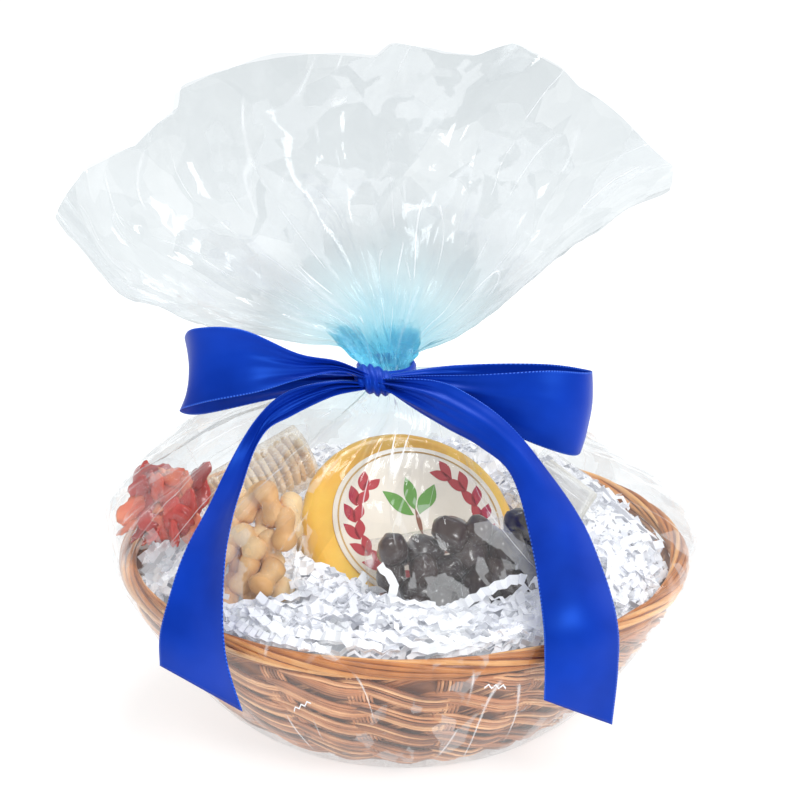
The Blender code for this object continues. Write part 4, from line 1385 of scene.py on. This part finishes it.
# satin ribbon bow
ribbon = {
    "width": 38.0,
    "thickness": 0.35,
    # length taken up by the knot and by the turn round the neck
    "inKnot": 110.0,
    "steps": 8,
    "across": 30,
    "knotCentre": (-15.1, -24.6, 189.6),
    "knotHalf": (10.0, 10.4, 6.6),
    "bandRadius": 14.0,
    "bandHeights": (185.2, 190.6),
    "satin": ((0.3, (0.001, 0.018, 0.25)), (0.7, (0.003, 0.034, 0.40))),
    "stitch": (0.05, 0.16, 0.75, 1.0),
    "stitchesPerMetre": 4200.0,
    # upper and lower edge of each stretch, and how much it crowns between them
    "runs": {
        "loop_left": (
            ((-17, -27, 192), (-32, -40, 205), (-52, -51, 213), (-80, -58, 228), (-103, -54, 227),
             (-109, -40, 217), (-101, -28, 211), (-62, -25, 201), (-17, -23, 192)),
            ((-17, -28, 190), (-32, -42, 200), (-50, -54, 201), (-72, -63, 197), (-99, -62, 191),
             (-112, -49, 182), (-101, -34, 175), (-62, -29, 182), (-17, -24, 190)), 3.5),
        "loop_right": (
            ((-12, -27, 191), (8, -33, 195), (36, -40, 198), (70, -48, 203), (90, -42, 200),
             (92, -27, 196), (70, -21, 197), (26, -20, 196), (-12, -22, 191)),
            ((-12, -28, 189), (7, -35, 187), (32, -42, 178), (62, -52, 167), (84, -48, 158),
             (87, -35, 158), (64, -29, 166), (23, -25, 181), (-12, -23, 188)), 2.5),
        "tail_left": (
            ((-17, -28, 189), (-34, -38, 194), (-57, -44, 191), (-73, -50, 179),
             (-90, -69, 154), (-109, -109, 124), (-118, -121, 96), (-119, -120, 76)),
            ((-17, -29, 187), (-35, -39, 187), (-56, -48, 179), (-70, -56, 172),
             (-80, -80, 154), (-86, -121, 130), (-86, -140, 94), (-78, -140, 61)), 3.0),
        "tail_right": (
            ((-12, -29, 192), (16, -43, 196), (34, -50, 190), (52, -60, 179), (70, -75, 161),
             (90, -101, 137), (102, -129, 107), (103, -135, 80), (101, -134, 51)),
            ((-12, -30, 188), (6, -43, 180), (21, -52, 174), (38, -63, 168), (53, -78, 158),
             (62, -112, 134), (66, -140, 109), (67, -146, 90), (67, -146, 70)), 4.0),
    },
}


def satinMaterial():
    material, tree, shader = startMaterial("blueSatin")
    place = addNode(tree, "SeparateXYZ", Vector=addNode(tree, "UVMap").outputs["UV"])
    # a row of stitches close to each long edge
    offMiddle = mathNode(tree, "ABSOLUTE", mathNode(tree, "SUBTRACT", place.outputs["Y"], 0.5))
    hem = spread(tree, offMiddle, 0.478, 0.487)
    wave = mathNode(tree, "SINE", mathNode(tree, "MULTIPLY", place.outputs["X"],
                                           ribbon["stitchesPerMetre"]))
    stitches = mathNode(tree, "MULTIPLY", hem, mathNode(tree, "GREATER_THAN", wave, 0.1))
    grain = addGrain(tree, 1200.0, 25.0)
    mix = tree.nodes.new("ShaderNodeMix")
    mix.data_type = "RGBA"
    for socket, value in ((0, stitches), (6, addRamp(tree, grain.outputs["Blotch"],
                                                     ribbon["satin"])), (7, ribbon["stitch"])):
        fillSocket(tree, mix.inputs[socket], value)
    fillSockets(tree, shader, Base_Color=mix.outputs[2], Roughness=0.42, Specular_IOR_Level=1.0,
                Specular_Tint=(0.05, 0.22, 1.0, 1.0), Sheen_Weight=0.06, Sheen_Roughness=0.4,
                Sheen_Tint=(0.05, 0.25, 1.0, 1.0))
    addBump(tree, shader, grain.outputs["Height"], 0.08, 0.0003)
    return material


def ribbonRun(name):
    upper, lower, crown = ribbon["runs"][name]
    steps, across = ribbon["steps"], ribbon["across"]
    stations = (len(upper) - 1) * steps
    highs, lows = ([splinePoint([Vector(point) for point in edge], station / steps)
                    for station in range(stations + 1)] for edge in (upper, lower))
    seed = Vector((len(name) * 3.7, 1.3, 0.4))
    lengths = [0.0]
    for index in range(stations):
        step = ((highs[index + 1] + lows[index + 1]) - (highs[index] + lows[index])).length / 2.0
        lengths.append(lengths[-1] + step)

    def place(column, row):
        high, low = highs[column], lows[column]
        share = row / across
        before, after = max(column - 1, 0), min(column + 1, stations)
        forward = (highs[after] + lows[after]) - (highs[before] + lows[before])
        outward = forward.cross(high - low).normalized()
        fade = min(1.0, column / (1.5 * steps), (stations - column) / (1.5 * steps))
        fromKnot = lengths[column]
        if name.startswith("loop"):
            fromKnot = min(fromKnot, lengths[-1] - lengths[column])
        # pleats where the knot gathers it, and soft waves elsewhere
        waves = math.cos(15.0 * share + len(name)) + 0.5 * math.cos(29.0 * share + 1.0)
        lift = crown * fade * (1.0 - (2.0 * share - 1.0) ** 2)
        lift += 2.7 * math.exp(-(fromKnot / 34.0) ** 1.3) * waves
        lift += 1.5 * fade * noise.noise(Vector((fromKnot / 26.0, share * 1.6, 0.0)) + seed)
        return low + (high - low) * share + outward * lift

    run = gridSheet(stations, across, place)
    # U runs in metres, for the stitches
    uv = uvLayer(run)
    for face in run.faces:
        for loop in face.loops:
            loop[uv].uv.x = loop[uv].uv.x * lengths[-1] / 1000.0 + 0.001 * len(name)
    return run, lengths[-1]


def makeBow():
    satin = satinMaterial()
    bow = bmesh.new()
    cut = ribbon["inKnot"]
    for name in ribbon["runs"]:
        run, length = ribbonRun(name)
        cut += length
        join(bow, run)
    sides, rings = 48, 26

    def knotPlace(column, row):
        turn = fullTurn * (column % sides) / sides
        tilt = math.pi * (row / rings - 0.5)
        halfWide, halfDeep, halfHigh = ribbon["knotHalf"]
        x = halfWide * math.sin(tilt)
        folds = 1.0 + 0.13 * math.cos(tilt) * math.cos(1.5 * x + 2.6 * math.sin(turn + 0.6))
        folds += 0.05 * math.cos(tilt) * math.cos(3.3 * x + 2.0 * math.sin(turn))
        size = math.cos(tilt) ** 0.7 * folds
        return Vector(ribbon["knotCentre"]) + Vector((
            x, halfDeep * size * math.cos(turn), halfHigh * size * math.sin(turn) - 0.25 * x))

    join(bow, closedSheet(sides, rings, knotPlace))
    low, high = ribbon["bandHeights"]

    def bandPlace(column, row):
        turn = fullTurn * (column % 72) / 72
        roll = fullTurn * (row % 16) / 16
        height = (low + high) / 2.0 + (high - low) / 2.0 * math.sin(roll)
        fold = 0.25 * math.cos(3.4 * (height - low))
        radius = ribbon["bandRadius"] + (1.1 + fold) * math.cos(roll)
        return (film["neckX"] + radius * math.cos(turn), radius * math.sin(turn), height)

    join(bow, closedSheet(72, 16, bandPlace))
    piece = newPiece("satin_bow", bow, satin, "ribbon_bow")
    thicken(piece, ribbon["thickness"])
    print("bow done, cut to", round(cut), "mm")


def makeFloor():
    shape = bmesh.new()
    bmesh.ops.create_grid(shape, x_segments=1, y_segments=1, size=view["floorSize"])
    material, tree, shader = startMaterial("paleFloor")
    fillSockets(tree, shader, Base_Color=view["floor"], Roughness=0.9,
                Emission_Color=view["backdrop"], Emission_Strength=view["floorGlow"])
    mesh = bpy.data.meshes.new("floor")
    shape.to_mesh(mesh)
    shape.free()
    mesh.materials.append(material)
    addObject("floor", mesh)


setCamera()
setLight()
filmLooks = {
    "film_pouch": filmMaterial("pouchFilm", (0.012, 0.17), film["pouchTints"], facet=24.0,
                               share=0.3, paintedStreaks=0.45, grazing=3.0,
                               milk=(0.82, 0.84, 0.85, 1.0)),
    "film_fan": filmMaterial("fanFilm", (0.02, 0.16), film["fanTints"], facet=15.0, share=0.2,
                             paintedStreaks=0.25, paintedGlow=0.15),
}
makeBasket()
makeCheese()
makeSnacks()
makePaper()
makeBow()
makeWrap()
makeFloor()
